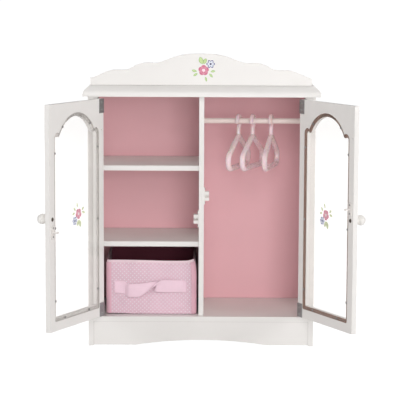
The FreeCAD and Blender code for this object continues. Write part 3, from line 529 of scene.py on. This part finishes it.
def cotton(name, colour_name, dotted=False, thread=THREAD):
    """Plain-woven cotton with uneven dye, painted shade between its threads and a soft nap."""
    finish = Finish(name)
    colour = hue(colour_name)
    weave = woven_height(finish, thread)
    slub = finish.cloudy(260.0, 3.0, finish.stretched((1.0, 6.0, 6.0)))
    dye = finish.ramp(finish.cloudy(28.0, 3.0), 0.3, 0.7)
    tone = finish.blend(dye, shaded(colour, 0.94), shaded(colour, 1.03))
    # Painted shade: the low parts of the weave are darkened.
    tone = finish.blend(finish.ramp(weave, 0.0, 1.0, 0.16, 0.0), tone, shaded(colour, 0.6))
    tone = finish.blend(finish.ramp(slub, 0.55, 0.8, 0.0, 0.25), tone, shaded(colour, 1.15))
    if dotted:
        share = finish.maths("MULTIPLY", dot_mask(finish), DOT_STRENGTH)
        tone = finish.blend(share, tone, hue("cloth_dot"))
    normal = finish.bump(finish.maths("MULTIPLY_ADD", slub, 0.6, weave), 0.10 * MM)
    return finish.surface(tone, 0.85, normal, Sheen_Weight=0.25, Sheen_Roughness=0.5)


def grosgrain(name, colour_name):
    """Ribbon with raised ribs across its width, with painted shade in the hollows between them."""
    finish = Finish(name)
    colour = hue(colour_name)
    split = finish.node("ShaderNodeSeparateXYZ", Vector=finish.cloth_place)
    ribs = finish.maths("SINE", finish.maths("MULTIPLY", split.outputs[0], 2 * math.pi / RIB_SPACING))
    height = finish.maths("MULTIPLY_ADD", ribs, 0.5, 0.5)
    dye = finish.ramp(finish.cloudy(45.0, 3.0), 0.3, 0.7)
    tone = finish.blend(dye, shaded(colour, 0.95), shaded(colour, 1.02))
    # Painted shade: the hollows between the ribs are darkened.
    tone = finish.blend(finish.ramp(height, 0.0, 1.0, 0.14, 0.0), tone, shaded(colour, 0.65))
    return finish.surface(
        tone, 0.6, finish.bump(height, 0.08 * MM), Sheen_Weight=0.2, Specular_IOR_Level=0.35
    )


def ink(name, colour):
    """Printed ink, very slightly mottled."""
    finish = Finish(name)
    speck = finish.cloudy(700.0, 3.0)
    tone = finish.blend(speck, shaded(colour, 0.93), shaded(colour, 1.05))
    return finish.surface(tone, 0.5, finish.bump(speck, 0.01 * MM))


# ---- giving the CAD nodes their finishes ----
def make_finishes():
    """Every finish that a material slot of the record can have."""
    return {
        "white_paint": sprayed_paint("white_paint_finish", hue("white_paint")),
        "pink_board": sprayed_paint("pink_board_finish", hue("pink_paint"), 0.55, 0.03 * MM),
        "cream_paint": grained_paint("cream_paint_finish", hue("cream_paint"), 0.4),
        "knob_paint": sprayed_paint("knob_paint_finish", hue("knob_paint"), 0.3, 0.01 * MM),
        "dowel_wood": bare_wood("dowel_wood_finish", hue("beech_pale"), hue("beech_dark")),
        "clear_pane": clear_sheet("clear_pane_finish"),
        "hinge_steel": drawn_metal("hinge_steel_finish", hue("hinge_steel"), 0.42),
        "screw_steel": drawn_metal("screw_steel_finish", hue("screw_steel"), 0.35),
        "dark_screw_metal": drawn_metal("dark_screw_finish", hue("dark_screw"), 0.4),
        "white_plastic": moulded("white_plastic_finish", hue("catch_plastic"), 0.35),
        "roller_plastic": moulded("roller_plastic_finish", hue("roller_plastic"), 0.5),
        "pink_plastic": moulded("pink_plastic_finish", hue("hanger_plastic"), 0.24, 0.3, 0.3),
        # Dark lining cloth, darkened further as painted shade of the basket's inside.
        "basket_board": cotton("basket_board_finish", "lining_cloth_shade_darkened"),
    }


def soften_edges(node):
    """Rounds a board's sharp edges a little, as sanding and paint do."""
    weld = node.modifiers.new("weld", "WELD")
    weld.merge_threshold = WELD_REACH
    bevel = node.modifiers.new("rounding", "BEVEL")
    bevel.width = EDGE_ROUND
    bevel.segments = EDGE_SEGMENTS
    bevel.limit_method = "ANGLE"
    bevel.angle_limit = math.radians(EDGE_ANGLE)
    normals = node.modifiers.new("normals", "WEIGHTED_NORMAL")
    normals.weight = FLAT_WEIGHT


def dress_nodes():
    """Gives each CAD node the finish of its slot, and boards their rounded edges."""
    finishes = make_finishes()
    bare_door = part_painted_door("part_painted_door_finish", "right")
    for part in frame["record"]["subparts"]:
        slot = part["material_slot"]
        node = NODES[part["node"]]
        if slot in finishes:
            node.data.materials.clear()
            node.data.materials.append(finishes[slot])
        if slot == "white_paint":
            soften_edges(node)
    NODES["right_door_frame"].data.materials[0] = bare_door
    return finishes


# ---- mesh helpers ----
def new_piece(name, materials, body):
    """An empty mesh object that will ride on a body."""
    mesh = bpy.data.meshes.new(name)
    piece = bpy.data.objects.new(name, mesh)
    bpy.context.scene.collection.objects.link(piece)
    for material in materials:
        mesh.materials.append(material)
    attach(piece, body)
    return piece


def fill_piece(piece, work, smooth=True):
    """Writes a bmesh into a piece, with its faces turned outwards."""
    bmesh.ops.recalc_face_normals(work, faces=work.faces)
    work.to_mesh(piece.data)
    work.free()
    for polygon in piece.data.polygons:
        polygon.use_smooth = smooth


def grid_faces(work, rows, closed, places=None):
    """Quads between neighbouring rows of vertices, with cloth coordinates from places."""
    cloth = work.loops.layers.uv.verify()
    for upper_index in range(1, len(rows)):
        lower = rows[upper_index - 1]
        upper = rows[upper_index]
        count = len(lower) if closed else len(lower) - 1
        for index in range(count):
            beyond = (index + 1) % len(lower)
            face = work.faces.new((lower[index], lower[beyond], upper[beyond], upper[index]))
            if places:
                corners = ((-1, 0), (-1, 1), (0, 1), (0, 0))
                for loop, (down, along) in zip(face.loops, corners):
                    loop[cloth].uv = places(upper_index + down, index + along)


def apply_modifiers(piece):
    """Bakes a piece's modifiers into its mesh."""
    depsgraph = bpy.context.evaluated_depsgraph_get()
    baked = bpy.data.meshes.new_from_object(piece.evaluated_get(depsgraph))
    piece.modifiers.clear()
    piece.data = baked


def add_stitch(work, middle, along, outward):
    """One short thread lying on cloth, as a six-sided spindle."""
    side = along.cross(outward)
    rings = []
    for share, thickness in STITCH_RINGS:
        centre = middle + along * (share * STITCH_LENGTH)
        ring = []
        for step in range(6):
            angle = step * math.pi / 3
            offset = side * math.cos(angle) + outward * math.sin(angle) * STITCH_FLATNESS
            ring.append(work.verts.new(centre + offset * (STITCH_RADIUS * thickness)))
        rings.append(ring)
    grid_faces(work, rings, True)
    work.faces.new(rings[0])
    work.faces.new(rings[-1])


def stitch_line(work, points, outward_of):
    """Evenly spaced stitches along joined points."""
    carried = STITCH_PITCH / 2
    for start, end in zip(points, points[1:]):
        length = (end - start).length
        if length == 0:
            continue
        along = (end - start) / length
        while carried < length:
            middle = start + along * carried
            outward = outward_of(middle)
            add_stitch(work, middle + outward * (STITCH_RADIUS * STITCH_LIFT), along, outward)
            carried += STITCH_PITCH
        carried -= length


# ---- basket ----
def smooth_step(value):
    """0 below 0, 1 above 1 and an easy curve between."""
    share = min(1.0, max(0.0, value))
    return share * share * (3 - 2 * share)


def settled(point):
    """Where a point of the ideal basket ends up on the worn, slightly slumped one."""
    share = (point.z - BASKET_LOW.z) / BASKET_HEIGHT
    along = (point.x - BASKET_LOW.x) / (BASKET_HIGH.x - BASKET_LOW.x)
    frontness = smooth_step(1 - (point.y - BASKET_LOW.y) / FRONT_REACH)
    sag = FRONT_SAG * math.exp(-(((along - SAG_CENTRE) / SAG_SPREAD) ** 2)) * frontness
    corner = math.hypot(point.x - BASKET_HIGH.x, point.y - BASKET_LOW.y)
    peak = CORNER_PEAK * math.exp(-((corner / CORNER_REACH) ** 2))
    lift = FOOT_LIFT * math.exp(-(((along - LIFT_CENTRE) / LIFT_SPREAD) ** 2)) * frontness
    lean_share = max(0.0, 1 - (BASKET_HIGH.z - point.z) / LEAN_HEIGHT)
    lean = RIGHT_LEAN * lean_share**1.5 * max(0.0, 2 * along - 1) ** 3
    rise = (peak - sag) * max(0.0, share) ** 3 + lift * max(0.0, 1 - share) ** 4
    return Vector((point.x - lean, point.y, point.z + rise))


def settled_at(place, height):
    """A place of the basket's plan at one height, on the worn basket."""
    return settled(Vector((place.x, place.y, height)))


def heading(angle):
    """The level direction at an angle from the X axis."""
    return Vector((math.cos(angle), math.sin(angle), 0))


def ring_stations(inset):
    """Places round the basket's plan: point, outward direction, distance run and whether in a corner."""
    radius = CORNER_RADIUS - inset
    low_x, high_x = BASKET_LOW.x + CORNER_RADIUS, BASKET_HIGH.x - CORNER_RADIUS
    low_y, high_y = BASKET_LOW.y + CORNER_RADIUS, BASKET_HIGH.y - CORNER_RADIUS
    centres = [(low_x, low_y), (high_x, low_y), (high_x, high_y), (low_x, high_y)]
    stations = []
    run = 0.0
    for index, centre in enumerate(centres):
        start_angle = math.pi + index * math.pi / 2
        for part in range(CORNER_STEPS):
            outward = heading(start_angle + part / CORNER_STEPS * math.pi / 2)
            stations.append((Vector((*centre, 0)) + outward * radius, outward, run, True))
            run += radius * math.pi / 2 / CORNER_STEPS
        follow = centres[(index + 1) % 4]
        outward = heading(start_angle + math.pi / 2)
        start = Vector((*centre, 0)) + outward * radius
        end = Vector((*follow, 0)) + outward * radius
        count = round((end - start).length / FABRIC_STEP)
        for part in range(count):
            here = start.lerp(end, part / count)
            stations.append((here, outward, run + (here - start).length, part == 0))
        run += (end - start).length
    return stations, run


def ring_row(work, stations, height, push=0.0):
    """A row of vertices along the stations at one height, pushed outwards."""
    row = []
    for point, outward, _, _ in stations:
        row.append(work.verts.new(settled_at(point + outward * push, height)))
    return row


def run_places(stations, whole_run, heights):
    """Cloth coordinates for rows round the basket: distance run and height."""
    runs = [station[2] for station in stations] + [whole_run]
    return lambda row, column: (runs[column], heights[row])


def relaxed(piece, held):
    """Vertex places after a short cloth simulation that lets slack fabric ripple."""
    group = piece.vertex_groups.new(name="held")
    group.add(held, 1.0, "REPLACE")
    modifier = piece.modifiers.new("cloth", "CLOTH")
    cloth = modifier.settings
    cloth.vertex_group_mass = "held"
    cloth.quality = CLOTH_QUALITY
    cloth.mass = CLOTH_MASS
    cloth.shrink_min = -CLOTH_SLACK
    cloth.tension_stiffness = CLOTH_STRETCH
    cloth.compression_stiffness = CLOTH_STRETCH
    cloth.bending_stiffness = CLOTH_BEND
    cloth.effector_weights.gravity = CLOTH_GRAVITY
    modifier.collision_settings.use_collision = False
    modifier.point_cache.frame_end = CLOTH_FRAMES
    for number in range(1, CLOTH_FRAMES + 1):
        bpy.context.scene.frame_set(number)
    depsgraph = bpy.context.evaluated_depsgraph_get()
    places = [vertex.co.copy() for vertex in piece.evaluated_get(depsgraph).data.vertices]
    piece.modifiers.remove(modifier)
    piece.vertex_groups.remove(group)
    bpy.context.scene.frame_set(1)
    return places


def skin_sleeve(piece):
    """Fills in the outer cloth, and gives the vertices to hold and each one's start and way out."""
    stations, whole_run = ring_stations(SKIN_INSET)
    count = round(BASKET_HEIGHT / FABRIC_STEP)
    top = BASKET_HIGH.z - 1.0 * MM
    foot = BASKET_LOW.z + 0.4 * MM
    heights = [foot + index / count * (top - foot) for index in range(count + 1)]
    work = bmesh.new()
    rows = [ring_row(work, stations, height) for height in heights]
    grid_faces(work, rows, True, run_places(stations, whole_run, heights))
    work.verts.index_update()
    held = []
    starts = []
    for row_index, row in enumerate(rows):
        for vertex, (_, outward, run, in_corner) in zip(row, stations):
            if in_corner or row_index < 2 or row_index > count - 2:
                held.append(vertex.index)
            else:
                wave = noise.noise(Vector((run, vertex.co.z * 0.6, 0)) / RIPPLE_SPACING)
                vertex.co += outward * (RIPPLE * wave)
            starts.append((vertex.co.copy(), outward))
    fill_piece(piece, work)
    return held, starts


def kept_close(place, start, outward):
    """A simulated place, brought back within the caps on how far the cloth may move."""
    moved = place - start
    out_share = min(OUTWARD_CAP, max(-INWARD_CAP, moved.dot(outward)))
    slide = moved - outward * moved.dot(outward)
    if slide.length > OUTWARD_CAP:
        slide *= OUTWARD_CAP / slide.length
    return start + outward * out_share + slide


def basket_skin(material):
    """The dotted outer cloth: a simulated sleeve, pinned at its corners, foot and rim."""
    piece = new_piece("basket_outer_cloth", [material], "basket")
    held, starts = skin_sleeve(piece)
    places = relaxed(piece, held)
    for vertex, place, (start, outward) in zip(piece.data.vertices, places, starts):
        vertex.co = kept_close(place, start, outward)
    thicken = piece.modifiers.new("thickness", "SOLIDIFY")
    thicken.thickness = SKIN_THICKNESS
    thicken.offset = -1
    finer = piece.modifiers.new("finer", "SUBSURF")
    finer.levels = 1
    finer.render_levels = 1
    apply_modifiers(piece)
    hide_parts("basket_shell")


def swept_band(name, profile, material, stations, whole_run, closed=False):
    """A strip whose cross-section (push out, height) is carried along stations of the basket."""
    piece = new_piece(name, [material], "basket")
    work = bmesh.new()
    rows = [ring_row(work, stations, height, push) for push, height in profile]
    rows.append(rows[0])
    lengths = [0.0]
    for (push_a, height_a), (push_b, height_b) in zip(profile, profile[1:] + profile[:1]):
        lengths.append(lengths[-1] + math.hypot(push_b - push_a, height_b - height_a))
    grid_faces(work, rows, closed, run_places(stations, whole_run, lengths))
    if not closed:
        work.faces.new([row[0] for row in rows[:-1]])
        work.faces.new([row[-1] for row in rows[:-1]])
    fill_piece(piece, work)


def rounded_loop(points):
    """A closed outline with each corner cut off a quarter of the way along its edges."""
    finer = []
    for (x0, y0), (x1, y1) in zip(points, points[1:] + points[:1]):
        finer.append((0.75 * x0 + 0.25 * x1, 0.75 * y0 + 0.25 * y1))
        finer.append((0.25 * x0 + 0.75 * x1, 0.25 * y0 + 0.75 * y1))
    return finer


def hem_profile():
    """Cross-section of the folded tape over the basket's rim."""
    top = BASKET_HIGH.z
    foot = top - HEM_HEIGHT
    inner = -(WALL + LINING_THICKNESS + HEM_PROUD) + SKIN_INSET
    skin = 0.1 * MM
    outline = [
        (HEM_PROUD, foot),
        (HEM_PROUD, top - 1.2 * MM),
        (HEM_PROUD * 0.4, top - 0.1 * MM),
        ((HEM_PROUD + inner) / 2, top + 0.35 * MM),
        (inner * 0.92, top - 0.1 * MM),
        (inner, top - 1.2 * MM),
        (inner, foot),
        (inner + HEM_PROUD, foot - 0.1 * MM),
        (inner + HEM_PROUD, top - 1.6 * MM),
        (-skin, top - 1.6 * MM),
        (-skin, foot - 0.1 * MM),
    ]
    return rounded_loop(outline)


def basket_hem(pale, dark):
    """The rim's tape, pale in front; elsewhere it takes the dark lining cloth as painted shade."""
    profile = hem_profile()
    stations, whole_run = ring_stations(SKIN_INSET)
    front = [number for number, station in enumerate(stations) if station[1].y < HEM_TURN]
    point, outward, run, in_corner = stations[front[0]]
    again = (point, outward, run + whole_run, in_corner)
    before = [(place, way, far + whole_run, bent) for place, way, far, bent in stations[: front[0]]]
    rest = stations[front[-1] :] + before + [again]
    ahead = stations[front[0] : front[-1] + 1]
    swept_band("basket_front_hem", profile, pale, ahead, ahead[-1][2])
    # Painted shade: away from the front, the hem takes the dark lining cloth.
    swept_band("basket_rear_hem", profile, dark, rest, rest[-1][2])


def corner_stations(index):
    """The stations of one corner, with a short lap on to the flat cloth at each end."""
    stations, _ = ring_stations(SKIN_INSET)
    width = len(stations)
    starts = [number for number in range(width) if stations[number][3] and not stations[number - 1][3]]
    first = starts[index]
    run = [stations[(first + step) % width] for step in range(CORNER_STEPS + 1)]
    turned = []
    for step, sign in ((0, -1), (CORNER_STEPS, 1)):
        point, outward, along, _ = run[step]
        tangent = UP.cross(outward)
        turned.append((point + tangent * (sign * BINDING_LAP), outward, along, True))
    return [turned[0]] + run + [turned[1]]


def basket_bindings(material):
    """Plain tape sewn over each upright corner."""
    foot = BASKET_LOW.z + 0.3 * MM
    head = BASKET_HIGH.z - HEM_HEIGHT + 0.6 * MM
    heights = [foot + (head - foot) * step / BINDING_STEPS for step in range(BINDING_STEPS + 1)]
    outer = [(BINDING_PROUD, height) for height in heights]
    inner = [(0.05 * MM, height) for height in reversed(heights)]
    for index, name in enumerate(("front_left", "front_right", "rear_right", "rear_left")):
        stations = corner_stations(index)
        runs = [0.0]
        for first, second in zip(stations, stations[1:]):
            runs.append(runs[-1] + (second[0] - first[0]).length)
        marked = [(point, outward, run, True) for (point, outward, _, _), run in zip(stations, runs)]
        tape = f"basket_binding_{name}"
        swept_band(tape, outer + inner, material, marked, runs[-1])


def basket_lining(material):
    """The dark cloth inside the walls, down to the base board, made darker still as painted shade for the inside
    of the basket.
    """
    top = BASKET_HIGH.z - 2.0 * MM
    foot = BASKET_LOW.z + WALL
    inner = [(0.0, foot + (top - foot) * step / LINING_STEPS) for step in range(LINING_STEPS + 1)]
    outer = [(LINING_THICKNESS, height) for _, height in reversed(inner)]
    stations, whole_run = ring_stations(WALL + LINING_THICKNESS)
    swept_band("basket_lining", inner + outer, material, stations, whole_run, closed=True)


def basket_foot(material):
    """The cloth-covered underside of the basket."""
    piece = new_piece("basket_underside", [material], "basket")
    stations, _ = ring_stations(SKIN_INSET)
    work = bmesh.new()
    low = BASKET_LOW.z + 0.05 * MM
    high = BASKET_LOW.z + WALL
    profile = [
        (-2.6 * MM, low),
        (-0.9 * MM, low),
        (-0.7 * MM, low + 0.9 * MM),
        (-0.7 * MM, high),
        (-1.4 * MM, high),
    ]
    edge = [ring_row(work, stations, height, push) for push, height in profile]
    runs = [0.0, 2.0 * MM, 3.0 * MM, 5.0 * MM, 6.0 * MM]
    grid_faces(work, edge, True, run_places(stations, UNDERSIDE_RUN, runs))
    work.faces.new(edge[0])
    work.faces.new(edge[-1])
    fill_piece(piece, work)
    for polygon in piece.data.polygons:
        polygon.use_smooth = len(polygon.vertices) == 4


def basket_outward(point):
    """The outward direction of the basket wall nearest a point."""
    away = []
    for axis in (0, 1):
        reach = BASKET_HIGH[axis] - BASKET_MIDDLE[axis] - CORNER_RADIUS
        offset = point[axis] - BASKET_MIDDLE[axis]
        away.append(offset - min(reach, max(-reach, offset)))
    return Vector((*away, 0)).normalized()


def basket_stitching(material):
    """Thread along the hem's lower edge and both edges of every corner tape."""
    piece = new_piece("basket_stitches", [material], "basket")
    work = bmesh.new()
    stations, _ = ring_stations(SKIN_INSET)
    level = BASKET_HIGH.z - HEM_HEIGHT + 1.1 * MM
    loop = []
    for point, outward, _, _ in stations + stations[:1]:
        loop.append(settled_at(point + outward * HEM_PROUD, level))
    stitch_line(work, loop, basket_outward)
    for index in range(4):
        lap = corner_stations(index)
        for (point, outward, _, _), inner in ((lap[0], lap[1]), (lap[-1], lap[-2])):
            place = point.lerp(inner[0], 0.45) + outward * BINDING_PROUD
            foot = settled_at(place, BASKET_LOW.z + 2 * MM)
            head = settled_at(place, BASKET_HIGH.z - HEM_HEIGHT)
            line = [foot.lerp(head, step / SEAM_STEPS) for step in range(SEAM_STEPS + 1)]
            stitch_line(work, line, lambda _, way=outward: way)
    fill_piece(piece, work)


# ---- pull strap ----
def curved(before, start, end, after, ease):
    """A value on the smooth curve through four neighbouring values."""
    slope_in = (end - before) / 2
    slope_out = (after - start) / 2
    bend = 2 * (start - end) + slope_in + slope_out
    return start + ease * (slope_in + ease * (3 * (end - start) - 2 * slope_in - slope_out + ease * bend))


def strap_edges(run):
    """Both edges of the strap at a share of its run."""
    last = len(STRAP_PATH) - 1
    index = 0
    while index < last - 1 and run > STRAP_PATH[index + 1][0]:
        index += 1
    rows = [STRAP_PATH[min(last, max(0, index + step))] for step in (-1, 0, 1, 2)]
    ease = (run - rows[1][0]) / (rows[2][0] - rows[1][0])
    edges = []
    for side in (1, 2):
        edges.append([curved(*(row[side][item] for row in rows), ease) for item in range(3)])
    return edges


def strap_point(run, across):
    """A point of the strap; across runs from -1 at its first edge to 1 at its second."""
    first, second = strap_edges(run)
    share, rise, stand_off = [a + (b - a) * (across + 1) / 2 for a, b in zip(first, second)]
    x = STRAP_LOW.x + share * (STRAP_HIGH.x - STRAP_LOW.x)
    z = (STRAP_LOW.z + STRAP_HIGH.z) / 2 + rise * MM
    bow = 0.5 * (1 - across**2) * smooth_step(stand_off - 1)
    return Vector((x, BASKET_LOW.y + SKIN_INSET - (stand_off + bow) * MM, z))


def pull_strap(material):
    """The ribbon handle: sewn down at both ends, with a half twist in its slack."""
    piece = new_piece("basket_pull_strap", [material], "basket")
    work = bmesh.new()
    rows = []
    shares = [2 * part / STRAP_ACROSS - 1 for part in range(STRAP_ACROSS + 1)]
    for step in range(STRAP_STEPS + 1):
        run = step / STRAP_STEPS
        rows.append([work.verts.new(strap_point(run, across)) for across in shares])
    pitch = (STRAP_HIGH.x - STRAP_LOW.x) / STRAP_STEPS
    spread = (STRAP_HIGH.z - STRAP_LOW.z) / STRAP_ACROSS
    grid_faces(work, rows, False, lambda row, column: (row * pitch, column * spread))
    fill_piece(piece, work)
    thicken = piece.modifiers.new("thickness", "SOLIDIFY")
    thicken.thickness = STRAP_THICKNESS
    thicken.offset = 0
    apply_modifiers(piece)
    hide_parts("basket_strap")


def strap_stitches(thread):
    """Sewn boxes that hold the strap's two ends to the basket."""
    piece = new_piece("basket_strap_stitches", [thread], "basket")
    work = bmesh.new()
    for first, last in STRAP_SEAMS:
        corners = [(first, -SEAM_EDGE), (last, -SEAM_EDGE), (last, SEAM_EDGE), (first, SEAM_EDGE)]
        for (share_a, across_a), (share_b, across_b) in zip(corners, corners[1:] + corners[:1]):
            line = []
            for part in range(SEAM_STEPS + 1):
                ease = part / SEAM_STEPS
                run = share_a + (share_b - share_a) * ease
                place = strap_point(run, across_a + (across_b - across_a) * ease)
                line.append(place + FRONT * (STRAP_THICKNESS / 2))
            stitch_line(work, line, lambda _: FRONT)
    fill_piece(piece, work)


def build_basket(finishes):
    """Every soft piece of the basket."""
    dotted = cotton("dotted_cotton", "dotted_cloth", dotted=True)
    plain = cotton("plain_cotton", "tape_cloth")
    pale = cotton("hem_cotton", "hem_cloth")
    thread = cotton("sewing_thread", "sewing_thread", thread=SEWING_THREAD)
    basket_skin(dotted)
    basket_hem(pale, finishes["basket_board"])
    basket_bindings(plain)
    basket_lining(finishes["basket_board"])
    basket_foot(dotted)
    basket_stitching(thread)
    pull_strap(grosgrain("strap_ribbon", "ribbon"))
    strap_stitches(thread)


# ---- flower prints ----
def flower_outline(radius, petals, notch, turn):
    """Outline of a flat flower with rounded petals."""
    steps = petals * 10
    outline = []
    for step in range(steps):
        angle = 2 * math.pi * step / steps
        lobe = abs(math.cos(petals * angle / 2)) ** 0.7
        reach = radius * (1 - notch * (1 - lobe))
        outline.append((reach * math.cos(angle + turn), reach * math.sin(angle + turn)))
    return outline


def leaf_outline(length, width, x, y, degrees):
    """Outline of a pointed leaf that grows from a point in a direction."""
    angle = math.radians(degrees)
    steps = 9
    shares = [step / steps for step in range(steps + 1)]
    upper = [(length * share, width / 2 * math.sin(math.pi * share) ** 0.8) for share in shares]
    lower = [(along, -off * 0.8) for along, off in reversed(upper[1:-1])]
    outline = []
    for along, off in upper + lower:
        outline.append((
            x + along * math.cos(angle) - off * math.sin(angle),
            y + along * math.sin(angle) + off * math.cos(angle),
        ))
    return outline


def add_plate(work, place, outline, middle, layer, slot, see_through):
    """A thin closed plate of ink on one layer; see-through prints show it on both sides."""
    high = layer * INK_STEP
    low = -high if see_through else PRINT_GAP
    rings = []
    for height in (low, high):
        spots = [Vector((x + middle[0], y + middle[1], height)) for x, y in outline]
        rings.append([work.verts.new(place @ spot) for spot in spots])
    before = len(work.faces)
    grid_faces(work, rings, True)
    work.faces.new(rings[1])
    work.faces.new(list(reversed(rings[0])))
    work.faces.ensure_lookup_table()
    for face in work.faces[before:]:
        face.material_index = slot


def flower_print(name, place, inks, body, see_through):
    """A small printed spray: edged leaves round a rose and an outlined flower."""
    piece = new_piece(name, inks, body)
    work = bmesh.new()
    for x, y, degrees, length, width in LEAVES:
        along = heading(math.radians(degrees))
        for rim in (0, 1):
            sizes = (length - 2 * rim, width - 2 * rim, x + rim * along.x, y + rim * along.y)
            outline = leaf_outline(*(size * MM for size in sizes), degrees)
            add_plate(work, place, outline, (0, 0), rim + 1, rim, see_through)
    for radius, petals, notch, turn, middle, layer, slot in PETALS:
        outline = flower_outline(radius, petals, notch, turn)
        add_plate(work, place, outline, middle, layer, slot, see_through)
    fill_piece(piece, work, smooth=False)


def facing(origin, right, out):
    """A placement whose local X runs along right and local Z points out."""
    up = out.cross(right)
    return Matrix.Translation(origin) @ Matrix((right, up, out)).transposed().to_4x4()


def make_inks(prefix, choice):
    """The inks of one kind of spray, in the order that its plates use."""
    return [ink(f"{prefix}_{name}_ink", srgb(colours[choice])) for name, colours in INKS.items()]


def build_prints():
    """One spray on the crest and a paler one on each pane, turned half round and seen through it."""
    solid = make_inks("crest", 0)
    pale = make_inks("pane", 1)
    crest_low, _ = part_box("crest_board")
    origin = Vector((CREST_ROSE_X, crest_low.y, crest_low.z + CREST_ROSE_RISE))
    placement = facing(origin, Vector((1, 0, 0)), FRONT)
    flower_print("crest_flower_print", placement, solid, "cabinet", False)
    knob_low, knob_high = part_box("left_door_knob")
    for side in ("left", "right"):
        across, out = door_axes(side)
        pane = f"{side}_door_pane"
        low, high = span(pane, across)
        seen_right = UP.cross(out)
        middle = across * ((low + high) / 2) + out * (span(pane, out)[1] + PANE_PRINT_GAP)
        middle += seen_right * PANE_ROSE_SHIFT[side]
        middle.z = (knob_low.z + knob_high.z) / 2
        place = facing(middle, -seen_right, out)
        flower_print(f"{side}_pane_flower_print", place, pale, f"{side}_door", True)


# ---- stage, light and camera ----
def build_floor():
    """A pale floor that reads as plain white behind the object."""
    bpy.ops.mesh.primitive_plane_add(size=FLOOR_SIZE, location=(0, 0, 0))
    floor = bpy.context.object
    floor.name = "studio_floor"
    finish = Finish("studio_floor_finish")
    dark, pale = [(tone, tone, tone, 1.0) for tone in FLOOR_TONES]
    tone = finish.blend(finish.cloudy(0.4, 2.0), dark, pale)
    matt = finish.node("ShaderNodeBsdfDiffuse", Color=tone)
    glow = finish.node("ShaderNodeEmission", Color=PLAIN_WHITE, Strength=FLOOR_GLOW)
    path = finish.node("ShaderNodeLightPath")
    share = finish.maths("MULTIPLY", path.outputs["Is Camera Ray"], FLOOR_GLOW_SHARE)
    floor.data.materials.append(finish.close(finish.mixed(share, matt, glow).outputs[0]))


def build_world():
    """Surroundings that look plain white, and light the object at WORLD_STRENGTH."""
    world = bpy.data.worlds.new("studio_world")
    bpy.context.scene.world = world
    world.use_nodes = True
    tree = world.node_tree
    backdrop = tree.nodes["Background"]
    path = tree.nodes.new("ShaderNodeLightPath")
    backdrop.inputs["Color"].default_value = PLAIN_WHITE
    strength = tree.nodes.new("ShaderNodeMapRange")
    strength.inputs["To Min"].default_value = WORLD_STRENGTH
    tree.links.new(path.outputs["Is Camera Ray"], strength.inputs["Value"])
    tree.links.new(strength.outputs["Result"], backdrop.inputs["Strength"])


def build_lights():
    """Large soft lamps aimed at the middle of the object."""
    target = (CAD_BOX[0] + CAD_BOX[1]) / 2
    for name, place, size, power, colour in LIGHTS:
        lamp = bpy.data.lights.new(f"{name}_light", "AREA")
        lamp.size = size
        lamp.energy = power
        lamp.color = colour
        holder = bpy.data.objects.new(f"{name}_light", lamp)
        holder.location = place
        holder.rotation_mode = "QUATERNION"
        holder.rotation_quaternion = (target - Vector(place)).to_track_quat("-Z", "Y")
        bpy.context.scene.collection.objects.link(holder)


def build_camera():
    """A long lens in front of the object, a little above it."""
    data = bpy.data.cameras.new("front_camera")
    data.lens = CAMERA_LENS
    data.sensor_width = SENSOR
    camera = bpy.data.objects.new("front_camera", data)
    tilt = Matrix.Rotation(math.radians(90 - CAMERA_PITCH), 4, "X")
    roll = Matrix.Rotation(math.radians(CAMERA_ROLL), 4, "Z")
    camera.matrix_world = Matrix.Translation(CAMERA_PLACE) @ tilt @ roll
    bpy.context.scene.collection.objects.link(camera)
    bpy.context.scene.camera = camera


def plain_colours():
    """Shows colours as they are lit, with no film look."""
    view = bpy.context.scene.view_settings
    view.view_transform = "Standard"
    view.look = "None"
    view.exposure = 0.0
    view.gamma = 1.0


finishes = dress_nodes()
build_basket(finishes)
build_prints()
build_floor()
build_world()
build_lights()
build_camera()
plain_colours()
